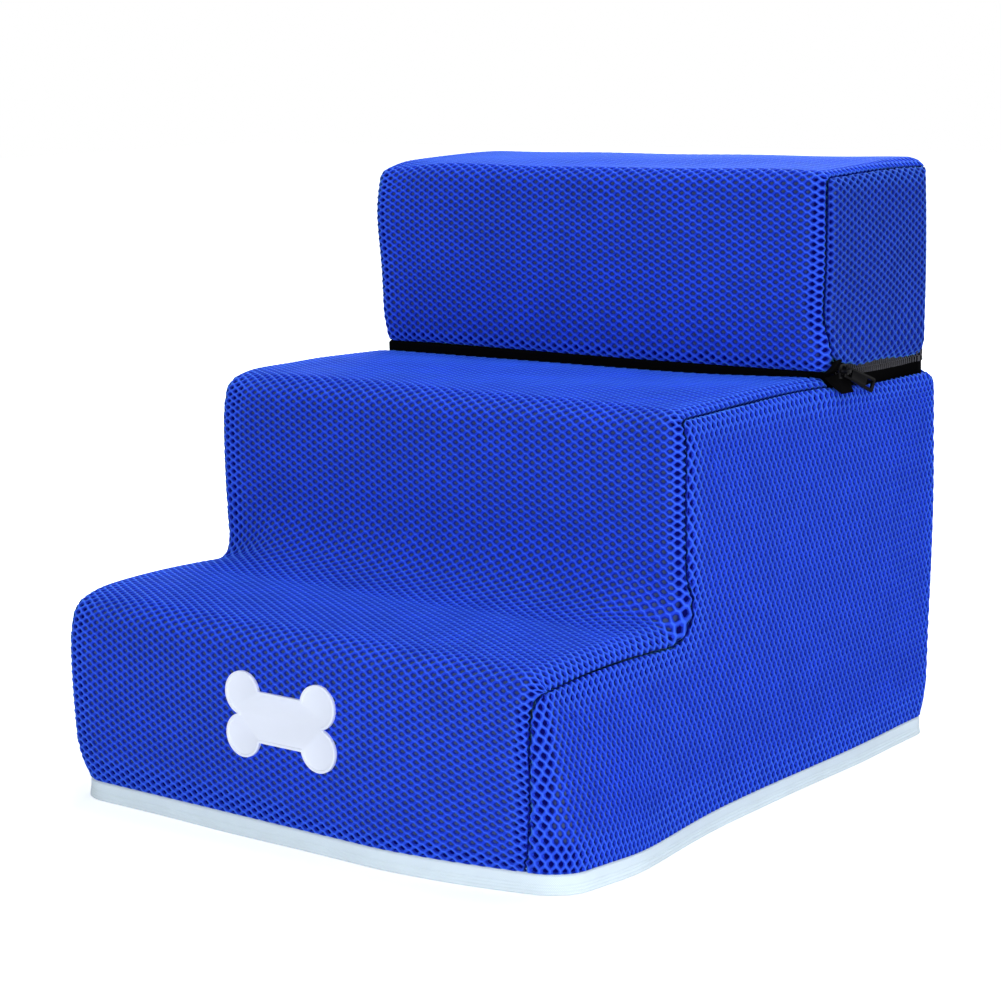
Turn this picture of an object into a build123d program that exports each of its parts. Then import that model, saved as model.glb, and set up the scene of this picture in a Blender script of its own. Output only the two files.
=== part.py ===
from build123d import *
import math
import os

# Pet stairs of three steps: a two-step base and a top block, joined by a cloth hinge along the
# block's lower front edge and by a zip round its other three sides.
# Millimetres. X is across the stairs, Y runs from the front to the back, Z is up.
# The origin is on the floor, under the middle of the plan.

# Whole stairs
width = 350.0
tread_1_depth = 134.0
tread_2_depth = 150.0
top_depth = 124.0
step_1_height = 122.0
step_2_height = 239.0
top_block_height = 120.0
parting_gap = 5.0

# Soft outline: how far each face swells, and how round each edge is
riser_bow = 2.5
tread_crown = 3.0
top_crown = 3.0
back_bow = 2.0
step_crest_radius = 20.0
step_hollow_radius = 40.0
deck_blend_radius = 60.0
rear_round_radius = 18.0
base_edge_radius = 15.0
top_crest_radius = 16.0
top_edge_radius = 14.0

# Layers, from the outside in
cover_thickness = 3.4
lining_gap = 0.3
lining_thickness = 0.6
foam_gap = 0.3
pad_thickness = 15.0
seam_inset = 6.0

# Foot of the base
hem_height = 13.0
hem_inset = 0.8
bottom_cloth_thickness = 1.2
bottom_cloth_gap = 0.2
foam_floor_gap = 0.3

# Zip
zip_band_height = 16.0
zip_inset = 5.6
zip_front_setback = 14.0
zip_corner_radius = 12.0
tape_thickness = 0.8
coil_thickness = 2.2
coil_row_height = 2.2
coil_row_gap = 1.2
stop_length = 2.2
stop_thickness = 2.6
stop_clearance = 0.5
deck_margin = 10.5

# Cloth hinge
hinge_leaf_thickness = 0.8
hinge_leaf_setback = 0.4
hinge_split = 1.0
hinge_side_margin = 14.0

# Slider
slider_length = 11.0
slider_front_height = 9.0
slider_rear_height = 7.8
slider_parking_gap = 0.8
slider_plate_gap = 4.0
outer_plate_thickness = 1.2
inner_plate_thickness = 1.0
slider_flange_reach = 0.7
slider_flange_height = 1.3
divider_thickness = 0.7
divider_length = 2.6
slider_corner_radius = 1.2

# Bail over the slider's outer plate
bail_length = 5.2
bail_width = 2.0
bail_post = 1.0
bail_window_height = 2.6
bail_bridge_thickness = 1.1

# Pull tab
tab_thickness = 1.4
tab_bar_diameter = 1.4
tab_eye_width = 4.6
tab_eye_length = 4.8
tab_arm_width = 1.4
tab_length = 27.0
tab_end_width = 9.0
tab_hole_width = 4.6
tab_hole_length = 5.4
tab_hole_margin = 2.2
tab_corner_radius = 1.6
tab_swing_down = 25.0
tab_lift_out = 10.0

# Bone badge on the first riser
badge_height_on_riser = 73.0
badge_lobe_radius = 12.5
badge_lobe_reach = 28.0
badge_lobe_rise = 12.0
badge_waist_height = 29.0
badge_thickness = 1.6
badge_rim_width = 1.6
badge_rim_height = 0.7

# Length by which every cut runs past what it cuts
overrun = 5.0

# Places that follow from the sizes
depth = tread_1_depth + tread_2_depth + top_depth
half_width = width / 2
front_y = -depth / 2
riser_2_y = front_y + tread_1_depth
top_front_y = riser_2_y + tread_2_depth
back_y = depth / 2
top_bottom_z = step_2_height + parting_gap
top_z = top_bottom_z + top_block_height
seat_z = step_2_height + parting_gap / 2
lining_inset = cover_thickness + lining_gap
foam_inset = lining_inset + lining_thickness + foam_gap
inner_floor_z = bottom_cloth_thickness + foam_floor_gap
zip_low_z = seat_z - zip_band_height / 2
zip_high_z = seat_z + zip_band_height / 2
zip_start_y = top_front_y + zip_front_setback
hinge_y = top_front_y + hinge_leaf_setback
row_near = coil_row_gap / 2
row_far = row_near + coil_row_height

os.makedirs("parts", exist_ok=True)


def finish(piece, name):
    """Labels a finished piece and writes it under its own name."""
    piece.part.label = name
    export_step(piece.part, f"parts/{name}.step")


def round_corner(y, z, radius):
    """Rounds the corner nearest to the point y, z of the side view that is being drawn."""
    fillet(vertices().sort_by_distance((y, z))[:1], radius=radius)


def side_edges(block):
    """All edges round the two side faces of a block, but for those on its floor."""
    sides = block.faces().filter_by(Axis.X)
    return sides.edges() - block.faces().sort_by(Axis.Z)[0].edges()


def stepped_block(inset, floor):
    """The base's two-step body, drawn in by inset all round and cut flat at floor."""
    front, riser, rear = front_y + inset, riser_2_y + inset, back_y - inset
    low, high = step_1_height - inset, step_2_height - inset
    with BuildPart() as block:
        with BuildSketch(Plane.YZ):
            with BuildLine():
                SagittaArc((front, low), (front, floor), -riser_bow)
                SagittaArc((riser, low), (front, low), -tread_crown)
                SagittaArc((riser, high), (riser, low), -riser_bow)
                SagittaArc((top_front_y, high), (riser, high), -tread_crown)
                Line((top_front_y, high), (rear, high))
                SagittaArc((rear, high), (rear, floor), back_bow)
                Line((front, floor), (rear, floor))
            make_face()
            for y, z in ((front, low), (riser, high)):
                round_corner(y, z, step_crest_radius - inset)
            round_corner(riser, low, step_hollow_radius + inset)
            round_corner(top_front_y, high, deck_blend_radius + inset)
            round_corner(rear, high, rear_round_radius - inset)
        extrude(amount=half_width - inset, both=True)
        fillet(side_edges(block), radius=base_edge_radius - inset)
    return block.part


def top_block(inset):
    """The top block's body, drawn in by inset all round."""
    front, rear = top_front_y + inset, back_y - inset
    low, high = top_bottom_z + inset, top_z - inset
    with BuildPart() as block:
        with BuildSketch(Plane.YZ):
            with BuildLine():
                SagittaArc((front, high), (front, low), -riser_bow)
                SagittaArc((rear, high), (front, high), -top_crown)
                SagittaArc((rear, high), (rear, low), back_bow)
                Line((front, low), (rear, low))
            make_face()
            for y in (front, rear):
                round_corner(y, high, top_crest_radius - inset)
            round_corner(rear, low, rear_round_radius - inset)
        extrude(amount=half_width - inset, both=True)
        fillet(block.faces().filter_by(Axis.X).edges(), radius=top_edge_radius - inset)
    return block.part


def region(x_range, y_range, z_range):
    """A plain box between the given limits, to cut or keep a part of a skin."""
    spans = [high - low for low, high in (x_range, y_range, z_range)]
    middles = [(high + low) / 2 for low, high in (x_range, y_range, z_range)]
    with BuildPart(Plane(origin=middles)) as box:
        Box(*spans)
    return box.part


all_x = (-half_width - 2 * overrun, half_width + 2 * overrun)
all_y = (front_y - 2 * overrun, back_y + 2 * overrun)
all_z = (-overrun, top_z + 2 * overrun)

# Skins that the covers are cut from, and the slabs between their two side seams
base_core = stepped_block(cover_thickness, -overrun)
with BuildPart() as base_skin:
    add(stepped_block(0, 0))
    add(base_core, mode=Mode.SUBTRACT)

with BuildPart() as top_skin:
    add(top_block(0))
    add(top_block(cover_thickness), mode=Mode.SUBTRACT)

seam_x = half_width - seam_inset
deck_x = half_width - deck_margin
corner_y = zip_start_y - stop_length - stop_clearance
ledge_y = (corner_y, back_y - rear_round_radius)
with BuildPart() as base_seam_slab:
    add(region((-seam_x, seam_x), all_y, all_z))
    ledge_z = (step_2_height - rear_round_radius, all_z[1])
    for side_x in ((deck_x, all_x[1]), (all_x[0], -deck_x)):
        add(region(side_x, ledge_y, ledge_z), mode=Mode.SUBTRACT)

with BuildPart() as top_seam_slab:
    add(region((-seam_x, seam_x), all_y, all_z))
    ledge_z = (0, top_bottom_z + rear_round_radius)
    for side_x in ((deck_x, all_x[1]), (all_x[0], -deck_x)):
        add(region(side_x, ledge_y, ledge_z), mode=Mode.SUBTRACT)

# Base: one strip of mesh over both risers and both treads
with BuildPart() as base_front_cover:
    add(base_skin.part)
    strip_y = (all_y[0], hinge_y - hinge_leaf_thickness / 2)
    add(region((-seam_x, seam_x), strip_y, (hem_height, all_z[1])), mode=Mode.INTERSECT)
finish(base_front_cover, "base_front_cover")

# Base: the stepped side panels, which stop at the zip under the top block
with BuildPart() as base_right_cover:
    add(base_skin.part)
    add(base_seam_slab.part, mode=Mode.SUBTRACT)
    add(region((0, all_x[1]), all_y, (hem_height, all_z[1])), mode=Mode.INTERSECT)
    add(region(all_x, (corner_y, all_y[1]), (zip_low_z, all_z[1])), mode=Mode.SUBTRACT)
finish(base_right_cover, "base_right_cover")

with BuildPart() as base_left_cover:
    add(mirror(base_right_cover.part, about=Plane.YZ))
finish(base_left_cover, "base_left_cover")

# Base: the back panel, from the hem up to the zip
with BuildPart() as base_back_cover:
    add(base_skin.part)
    back_panel_y = (ledge_y[1], all_y[1])
    add(region((-seam_x, seam_x), back_panel_y, (hem_height, zip_low_z)), mode=Mode.INTERSECT)
finish(base_back_cover, "base_back_cover")

# Base: the padded cloth under the top block, seen when the block is open
with BuildPart() as base_deck_cover:
    add(base_skin.part)
    deck_y = (hinge_y + hinge_leaf_thickness / 2, back_y - deck_margin)
    deck_z = (step_2_height - cover_thickness, all_z[1])
    add(region((-deck_x, deck_x), deck_y, deck_z), mode=Mode.INTERSECT)
finish(base_deck_cover, "base_deck_cover")

# Base: the white hem band round the foot
with BuildPart() as hem_band:
    add(stepped_block(hem_inset, 0))
    add(base_core, mode=Mode.SUBTRACT)
    add(region(all_x, all_y, (-overrun, hem_height)), mode=Mode.INTERSECT)
finish(hem_band, "hem_band")

# Base: the non-slip cloth that closes the bottom inside the hem band
with BuildPart() as bottom_cloth:
    add(stepped_block(cover_thickness + bottom_cloth_gap, 0))
    add(region(all_x, all_y, (-overrun, bottom_cloth_thickness)), mode=Mode.INTERSECT)
finish(bottom_cloth, "bottom_cloth")

# Base: the lining bag behind the mesh, open at the bottom
with BuildPart() as base_lining:
    inner_inset = lining_inset + lining_thickness
    add(stepped_block(lining_inset, inner_floor_z))
    add(stepped_block(inner_inset, -overrun), mode=Mode.SUBTRACT)
finish(base_lining, "base_lining")

# Base: foam slabs, cut square at the inner corner and glued on top of each other
foam_body = stepped_block(foam_inset, inner_floor_z)
slab_1_top = step_1_height - foam_inset - pad_thickness
slab_2_top = step_2_height - foam_inset - pad_thickness
slab_2_front = riser_2_y + foam_inset - riser_bow
pad_1_top = step_1_height - foam_inset + tread_crown

with BuildPart() as lower_foam_slab:
    add(foam_body)
    add(region(all_x, all_y, (-overrun, slab_1_top)), mode=Mode.INTERSECT)
finish(lower_foam_slab, "lower_foam_slab")

with BuildPart() as tread_1_pad:
    add(foam_body)
    add(
        region(all_x, (all_y[0], slab_2_front), (slab_1_top, pad_1_top)),
        mode=Mode.INTERSECT,
    )
finish(tread_1_pad, "tread_1_pad")

with BuildPart() as upper_foam_slab:
    add(foam_body)
    add(region(all_x, (slab_2_front, all_y[1]), (slab_1_top, slab_2_top)), mode=Mode.INTERSECT)
finish(upper_foam_slab, "upper_foam_slab")

with BuildPart() as tread_2_pad:
    add(foam_body)
    add(region(all_x, all_y, (slab_2_top, all_z[1])), mode=Mode.INTERSECT)
finish(tread_2_pad, "tread_2_pad")

# Top block: one strip of mesh over its front, top and back
with BuildPart() as top_strip_cover:
    add(top_skin.part)
    add(top_seam_slab.part, mode=Mode.INTERSECT)
    wall_back_y = top_front_y + cover_thickness
    add(region(all_x, (wall_back_y, all_y[1]), (0, zip_high_z)), mode=Mode.SUBTRACT)
finish(top_strip_cover, "top_strip_cover")

with BuildPart() as top_right_cover:
    add(top_skin.part)
    add(top_seam_slab.part, mode=Mode.SUBTRACT)
    add(region((0, all_x[1]), all_y, all_z), mode=Mode.INTERSECT)
    add(region(all_x, (corner_y, all_y[1]), (0, zip_high_z)), mode=Mode.SUBTRACT)
finish(top_right_cover, "top_right_cover")

with BuildPart() as top_left_cover:
    add(mirror(top_right_cover.part, about=Plane.YZ))
finish(top_left_cover, "top_left_cover")

# Top block: the padded cloth underneath, foam, comfort pad and lining bag
with BuildPart() as top_bottom_cover:
    add(top_skin.part)
    add(
        region(
            (-deck_x, deck_x),
            (wall_back_y, back_y - deck_margin),
            (0, top_bottom_z + cover_thickness),
        ),
        mode=Mode.INTERSECT,
    )
finish(top_bottom_cover, "top_bottom_cover")

with BuildPart() as top_lining:
    add(top_block(lining_inset))
    add(top_block(inner_inset), mode=Mode.SUBTRACT)
    bag_mouth_z = top_bottom_z + lining_inset + lining_thickness
    add(region(all_x, all_y, (0, bag_mouth_z)), mode=Mode.SUBTRACT)
finish(top_lining, "top_lining")

top_foam_body = top_block(foam_inset)
top_pad_z = top_z - foam_inset - pad_thickness
with BuildPart() as top_foam_slab:
    add(top_foam_body)
    add(region(all_x, all_y, (0, top_pad_z)), mode=Mode.INTERSECT)
finish(top_foam_slab, "top_foam_slab")

with BuildPart() as top_pad:
    add(top_foam_body)
    add(region(all_x, all_y, (top_pad_z, all_z[1])), mode=Mode.INTERSECT)
finish(top_pad, "top_pad")

# Cloth hinge: one leaf on the base, one on the top block, parted at the axis
leaf_x = (hinge_side_margin - half_width, half_width - hinge_side_margin)
leaf_y = (hinge_y - hinge_leaf_thickness / 2, hinge_y + hinge_leaf_thickness / 2)
with BuildPart() as lower_hinge_leaf:
    add(region(leaf_x, leaf_y, (step_2_height - cover_thickness, seat_z - hinge_split / 2)))
finish(lower_hinge_leaf, "lower_hinge_leaf")

with BuildPart() as upper_hinge_leaf:
    add(region(leaf_x, leaf_y, (seat_z + hinge_split / 2, top_bottom_z)))
finish(upper_hinge_leaf, "upper_hinge_leaf")


def zip_band(middle_inset, thickness, low, high):
    """A band that runs back from the right front end, round the rear and to the left front end."""
    with BuildPart() as band:
        for side, mode in ((-1, Mode.ADD), (1, Mode.SUBTRACT)):
            inset = middle_inset + side * thickness / 2
            reach = half_width - inset
            length = back_y - inset - zip_start_y
            radius = zip_corner_radius + zip_inset - inset
            with BuildSketch(Plane.XY.offset(low)):
                with Locations((0, zip_start_y + length / 2)):
                    Rectangle(2 * reach, length)
                fillet(vertices().group_by(Axis.Y)[-1], radius=radius)
            extrude(amount=high - low, mode=mode)
    return band


# Zip: two tapes, and the two coil rows between them
chain_inset = zip_inset + tape_thickness / 2
lower_zip_tape = zip_band(chain_inset, tape_thickness, zip_low_z, seat_z - row_far)
finish(lower_zip_tape, "lower_zip_tape")
upper_zip_tape = zip_band(chain_inset, tape_thickness, seat_z + row_far, zip_high_z)
finish(upper_zip_tape, "upper_zip_tape")
lower_zip_coil = zip_band(chain_inset, coil_thickness, seat_z - row_far, seat_z - row_near)
finish(lower_zip_coil, "lower_zip_coil")
upper_zip_coil = zip_band(chain_inset, coil_thickness, seat_z + row_near, seat_z + row_far)
finish(upper_zip_coil, "upper_zip_coil")

# Zip: end stops, one on each row at the right front end and one block at the left front end
chain_x = half_width - chain_inset
stop_x = (chain_x - stop_thickness / 2, chain_x + stop_thickness / 2)
stop_y = (zip_start_y - stop_length, zip_start_y)
with BuildPart() as lower_end_stop:
    add(region(stop_x, stop_y, (seat_z - row_far, seat_z - row_near)))
finish(lower_end_stop, "lower_end_stop")

with BuildPart() as upper_end_stop:
    add(region(stop_x, stop_y, (seat_z + row_near, seat_z + row_far)))
finish(upper_end_stop, "upper_end_stop")

with BuildPart() as left_end_stop:
    stop_x_left = (-stop_x[1], -stop_x[0])
    add(region(stop_x_left, stop_y, (seat_z - row_far, seat_z - row_near)))
    ahead_y = (stop_y[0], stop_y[1] - stop_clearance)
    add(region(stop_x_left, ahead_y, (seat_z - row_near, seat_z + row_far)))
finish(left_end_stop, "left_end_stop")

# Slider: outer and inner plates joined by the divider that runs between the coil rows
slider_front_y = zip_start_y + slider_parking_gap
slider_y = slider_front_y + slider_length / 2
plate_x = chain_x + slider_plate_gap / 2


def slider_plate(x, thickness):
    """One plate of the slider, wider at its front end, with rounded corners."""
    front, rear = slider_front_y, slider_front_y + slider_length
    with BuildPart() as plate:
        with BuildSketch(Plane.YZ.offset(x)):
            with BuildLine():
                Polyline(
                    (front, seat_z - slider_front_height / 2),
                    (slider_y, seat_z - slider_front_height / 2),
                    (rear, seat_z - slider_rear_height / 2),
                    (rear, seat_z + slider_rear_height / 2),
                    (slider_y, seat_z + slider_front_height / 2),
                    (front, seat_z + slider_front_height / 2),
                    close=True,
                )
            make_face()
            ends = vertices().group_by(Axis.X)
            fillet(ends[0] + ends[-1], radius=slider_corner_radius)
        extrude(amount=thickness)
    return plate.part


with BuildPart() as slider:
    add(slider_plate(plate_x, outer_plate_thickness))
    inner_x = chain_x - slider_plate_gap / 2 - inner_plate_thickness
    add(slider_plate(inner_x, inner_plate_thickness))
    post_x = (chain_x - slider_plate_gap / 2, plate_x)
    post_y = (slider_front_y, slider_front_y + divider_length)
    post_z = (seat_z - divider_thickness / 2, seat_z + divider_thickness / 2)
    add(region(post_x, post_y, post_z))
    rim_y = (slider_front_y + slider_corner_radius, slider_y)
    rim_x = (plate_x - slider_flange_reach, plate_x)
    for side in (-1, 1):
        edges_z = sorted(
            (
                seat_z + side * slider_front_height / 2,
                seat_z + side * (slider_front_height / 2 - slider_flange_height),
            )
        )
        add(region(rim_x, rim_y, edges_z))
    bail_x = plate_x + outer_plate_thickness
    bail_top_x = bail_x + bail_window_height + bail_bridge_thickness
    bail_y = (slider_y - bail_length / 2, slider_y + bail_length / 2)
    bail_z = (seat_z - bail_width / 2, seat_z + bail_width / 2)
    add(region((bail_x, bail_top_x), bail_y, bail_z))
    window_x = (bail_x, bail_x + bail_window_height)
    window_y = (bail_y[0] + bail_post, bail_y[1] - bail_post)
    add(region(window_x, window_y, bail_z), mode=Mode.SUBTRACT)
finish(slider, "slider")

# Pull tab: its eye goes round the bail and its bar lies in the bail's window
swing, lift = math.radians(tab_swing_down), math.radians(tab_lift_out)
bar_x = bail_x + bail_window_height / 2
tab_way = Vector(
    math.sin(lift), math.cos(lift) * math.cos(swing), -math.cos(lift) * math.sin(swing)
)
bar_way = Vector(0, math.sin(swing), math.cos(swing))
tab_plane = Plane(
    origin=(bar_x, slider_y, seat_z), x_dir=tab_way, z_dir=tab_way.cross(bar_way)
)
eye_half = tab_eye_width / 2
neck_half = eye_half + tab_arm_width
eye_end = tab_bar_diameter / 2 + tab_eye_length
with BuildPart() as pull_tab:
    with BuildSketch(tab_plane.offset(-tab_thickness / 2)):
        with BuildLine():
            Polyline(
                (0, -neck_half),
                (eye_end, -neck_half),
                (tab_length, -tab_end_width / 2),
                (tab_length, tab_end_width / 2),
                (eye_end, neck_half),
                (0, neck_half),
                close=True,
            )
        make_face()
        fillet(vertices().group_by(Axis.X)[-1], radius=tab_corner_radius)
        with Locations((eye_end / 2, 0)):
            Rectangle(eye_end, tab_eye_width, mode=Mode.SUBTRACT)
        with Locations((tab_length - tab_hole_margin - tab_hole_length / 2, 0)):
            Rectangle(tab_hole_length, tab_hole_width, mode=Mode.SUBTRACT)
    extrude(amount=tab_thickness)
    bar_plane = Plane(origin=tab_plane.origin, z_dir=bar_way)
    with BuildSketch(bar_plane):
        Circle(tab_bar_diameter / 2)
    extrude(amount=neck_half, both=True)
finish(pull_tab, "pull_tab")


def bone(margin):
    """The bone's outline on the front plane, drawn in by margin."""
    with BuildSketch(Plane.XZ) as outline:
        with Locations((0, badge_height_on_riser)):
            Rectangle(2 * badge_lobe_reach, badge_waist_height)
            with GridLocations(2 * badge_lobe_reach, 2 * badge_lobe_rise, 2, 2):
                Circle(badge_lobe_radius)
        if margin:
            offset(amount=-margin)
    return outline.sketch


def badge_layer(margin, inner_inset, outer_inset):
    """A layer of the badge that follows the riser's swell."""
    with BuildPart() as layer:
        extrude(bone(margin), amount=depth)
        add(region(all_x, (all_y[0], riser_2_y), all_z), mode=Mode.INTERSECT)
        add(stepped_block(outer_inset, 0), mode=Mode.INTERSECT)
        add(stepped_block(inner_inset, 0), mode=Mode.SUBTRACT)
    return layer.part


# Bone badge, a moulded patch with a raised rim
with BuildPart() as bone_badge:
    add(badge_layer(0, 0, -badge_thickness - badge_rim_height))
    add(badge_layer(badge_rim_width, -badge_thickness, -overrun), mode=Mode.SUBTRACT)
finish(bone_badge, "bone_badge")
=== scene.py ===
"""Soft pet stairs: mesh covers over foam, a top block on a cloth hinge and a zip, a white hem band and
a blank bone badge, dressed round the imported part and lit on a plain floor."""

import math

import bpy
import numpy as np
from mathutils import Matrix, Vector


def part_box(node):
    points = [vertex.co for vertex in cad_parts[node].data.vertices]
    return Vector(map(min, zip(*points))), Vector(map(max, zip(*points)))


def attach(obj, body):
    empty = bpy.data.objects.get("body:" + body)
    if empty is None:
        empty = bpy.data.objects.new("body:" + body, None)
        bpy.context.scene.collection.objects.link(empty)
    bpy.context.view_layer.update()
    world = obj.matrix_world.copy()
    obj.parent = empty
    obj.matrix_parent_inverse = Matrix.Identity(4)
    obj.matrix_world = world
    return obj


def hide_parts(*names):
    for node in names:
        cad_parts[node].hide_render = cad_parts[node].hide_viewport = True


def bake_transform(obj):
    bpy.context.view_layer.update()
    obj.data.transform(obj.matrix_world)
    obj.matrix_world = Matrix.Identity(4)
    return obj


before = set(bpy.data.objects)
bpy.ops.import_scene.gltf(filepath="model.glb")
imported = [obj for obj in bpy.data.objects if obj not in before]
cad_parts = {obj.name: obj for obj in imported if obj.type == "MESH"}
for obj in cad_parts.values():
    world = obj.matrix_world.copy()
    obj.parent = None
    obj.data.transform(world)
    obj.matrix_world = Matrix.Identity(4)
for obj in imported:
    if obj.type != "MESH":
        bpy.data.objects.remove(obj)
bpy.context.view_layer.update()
mm = 0.001

# Swell of the soft faces, as the covers are cut
riser_bow = 2.5 * mm
tread_crown = 3.0 * mm
deck_crown = 1.0 * mm
top_crown = 0.8 * mm
back_bow = 2.0 * mm
side_bow = 3.0 * mm
foam_inset = 4.6 * mm

# Places read from the frame
half_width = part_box("base_right_cover")[1].x
hem_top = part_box("hem_band")[1].z
mesh_foot = hem_top - 2.3 * mm
deck_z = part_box("base_right_cover")[1].z
back_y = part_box("top_strip_cover")[1].y - back_bow
front_y = -back_y
riser_2_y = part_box("tread_1_pad")[1].y - foam_inset + riser_bow
step_1_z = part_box("tread_1_pad")[1].z + foam_inset - tread_crown
top_front_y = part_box("lower_hinge_leaf")[0].y
top_low_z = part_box("top_strip_cover")[0].z
zip_low_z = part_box("lower_zip_tape")[0].z
zip_high_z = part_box("upper_zip_tape")[1].z
seat_z = (zip_low_z + zip_high_z) / 2
zip_start_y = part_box("lower_zip_coil")[0].y
zip_half_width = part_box("lower_zip_tape")[1].x
zip_back_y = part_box("lower_zip_tape")[1].y

# The foam has settled: the second tread falls back a little, and the top is lower than it was cut
tread_2_back_z = deck_z - 2.4 * mm
top_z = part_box("top_strip_cover")[1].z - 5.5 * mm
top_front_drop = 2.4 * mm

# Roundness of the steps' corners, at the seams and away from them
crest_at_seam, crest_radius = 9 * mm, 15 * mm
hollow_at_seam, hollow_radius = 13 * mm, 46 * mm
rear_radius = 14 * mm
top_crest_at_seam, top_crest_radius = 6 * mm, 9 * mm
soft_reach = 55 * mm
deck_bend = 60 * mm

# Roundness of the edges along the seams, and the seams themselves
right_edge_radius, left_edge_radius, rear_edge_radius = 14 * mm, 10 * mm, 8 * mm
top_edge_front, top_edge_rear = 11 * mm, 17 * mm
seam_angle = math.pi / 4
seam_drift = 20 * mm
seam_wave = 0.45 * mm
fold_radius = 1.4 * mm
seam_gap = 0.35 * mm
flange = 4.5 * mm

# How far the stuffing and the sewing have moved the base and the top block from their patterns
foot_corner_pull, foot_swell, rear_foot_swell = 17 * mm, 8.5 * mm, 1.5 * mm
rear_lean_out, rear_lean_back = 2.5 * mm, 2.0 * mm
left_crest_swell, left_foot_tuck = 1.6 * mm, 0.8 * mm
zip_corner_cover = 6 * mm
deck_left_drop, deck_right_rise, left_crest_drop = 0.3 * mm, 2.6 * mm, 0.8 * mm
base_zip_drop, base_zip_rear_drop = 1.8 * mm, 3.0 * mm
top_front_sag, top_middle_sag, top_left_sag = 1.7 * mm, 1.2 * mm, 0.9 * mm
top_zip_drop, top_zip_rear_rise, top_rear_drop = 4.3 * mm, 2.4 * mm, 6.5 * mm
top_left_tuck, top_left_foot_tuck, top_right_swell = 3.0 * mm, 2.5 * mm, 2.0 * mm
crest_ease, crest_ease_reach = 3.6 * mm, 17 * mm
cloth_ripple, ripple_reach = 0.4 * mm, 30 * mm

# The mesh cloth: two hole pitches, width of the strands, and depth of the holes
strip_pitches = (8.5 * mm, 4.76 * mm)
base_side_pitches = (4.8 * mm, 8.8 * mm)
top_side_pitches = (8.1 * mm, 4.8 * mm)
point_share = 0.15
strand_half_width = 0.92 * mm
strand_drop = 0.40 * mm
hole_draw_in = 0.18 * mm
hole_depth = 1.1 * mm


def ramp(value, start, end):
    """0 before the start, 1 past the end, and a soft ramp between."""
    share = np.clip((value - start) / (end - start), 0, 1)
    return share * share * (3 - 2 * share)


def hump(value, middle, width):
    """1 in the middle, and a soft fall to both sides."""
    return np.exp(-((value - middle) / width) ** 2)


# Shader groups that several materials use
def new_group(name, inputs, outputs):
    """An empty shader group with the named sockets, and its two end nodes."""
    group = bpy.data.node_groups.new(name, "ShaderNodeTree")
    for socket, kind, value in inputs:
        item = group.interface.new_socket(socket, in_out="INPUT", socket_type=kind)
        item.default_value = value
    for socket, kind in outputs:
        group.interface.new_socket(socket, in_out="OUTPUT", socket_type=kind)
    return group, group.nodes.new("NodeGroupInput"), group.nodes.new("NodeGroupOutput")


def new_node(tree, kind, inputs, **settings):
    """A shader node with its settings, each of its inputs linked to a socket or set to a value."""
    node = tree.nodes.new("ShaderNode" + kind)
    for name, value in settings.items():
        setattr(node, name, value)
    for name, value in inputs.items():
        if isinstance(value, bpy.types.NodeSocket):
            tree.links.new(value, node.inputs[name])
        else:
            node.inputs[name].default_value = value
    return node


def link_all(tree, node, **values):
    """Links sockets to the named inputs of a node."""
    for name, value in values.items():
        tree.links.new(value, node.inputs[name])


def object_place(tree):
    """The place on the piece itself, for noise that stays with it."""
    return new_node(tree, "TexCoord", {}).outputs["Object"]


def maths(tree, operation, first, second=0.0, clamp=False):
    """A maths node on two values, each a socket or a number."""
    return new_node(tree, "Math", {0: first, 1: second}, operation=operation, use_clamp=clamp).outputs[0]


def times(tree, first, second, clamp=False):
    """The product of two values."""
    return maths(tree, "MULTIPLY", first, second, clamp)


def plus(tree, first, second, clamp=False):
    """The sum of two values."""
    return maths(tree, "ADD", first, second, clamp)


def mixed(tree, factor, first, second):
    """A colour between two, each a socket or four numbers."""
    return new_node(tree, "Mix", {0: factor, 6: first, 7: second}, data_type="RGBA").outputs[2]


def soft_ramp(tree, value, start, end):
    """A value that goes softly from 0 at the start to 1 at the end."""
    return new_node(tree, "MapRange", {"Value": value, "From Min": start, "From Max": end},
                    interpolation_type="SMOOTHSTEP").outputs[0]


def mottle_group():
    """Soft uneven shade over a colour, as dyed yarn and moulded surfaces have."""
    group, inside, out = new_group(
        "mottle",
        [("Color", "NodeSocketColor", (1, 1, 1, 1)), ("Scale", "NodeSocketFloat", 40.0),
         ("Amount", "NodeSocketFloat", 0.1)],
        [("Color", "NodeSocketColor"), ("Mask", "NodeSocketFloat")],
    )
    scale = inside.outputs["Scale"]
    noise = new_node(group, "TexNoise", {"Vector": object_place(group), "Scale": scale, "Detail": 4})
    uneven = maths(group, "SUBTRACT", noise.outputs["Fac"], 0.5)
    shade = times(group, uneven, inside.outputs["Amount"])
    strength = plus(group, times(group, shade, 2.0), 1.0)
    shaded = new_node(group, "VectorMath", {0: inside.outputs["Color"], "Scale": strength},
                      operation="SCALE")
    link_all(group, out, Color=shaded.outputs[0], Mask=noise.outputs["Fac"])
    return group


def cloth_waves(group, inside, rates):
    """The map's two directions as waves, at the rates that the group is given."""
    place = new_node(group, "UVMap", {}, uv_map="cloth")
    split = new_node(group, "SeparateXYZ", {0: place.outputs["UV"]})
    turns = [times(group, split.outputs[axis], inside.outputs[rate]) for axis, rate in zip("XY", rates)]
    return [(maths(group, "SINE", turn), maths(group, "COSINE", turn)) for turn in turns]


def weave_group():
    """Crossed threads along a piece's own map: a height, and a mask of the thread tops."""
    group, inside, out = new_group(
        "weave",
        [("Across", "NodeSocketFloat", 900.0), ("Along", "NodeSocketFloat", 900.0)],
        [("Height", "NodeSocketFloat"), ("Mask", "NodeSocketFloat")],
    )
    first, second = cloth_waves(group, inside, ("Across", "Along"))
    crossed = times(group, first[0], second[0])
    height = plus(group, times(group, crossed, 0.5), 0.5)
    link_all(group, out, Height=height, Mask=times(group, height, height))
    return group


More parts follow.
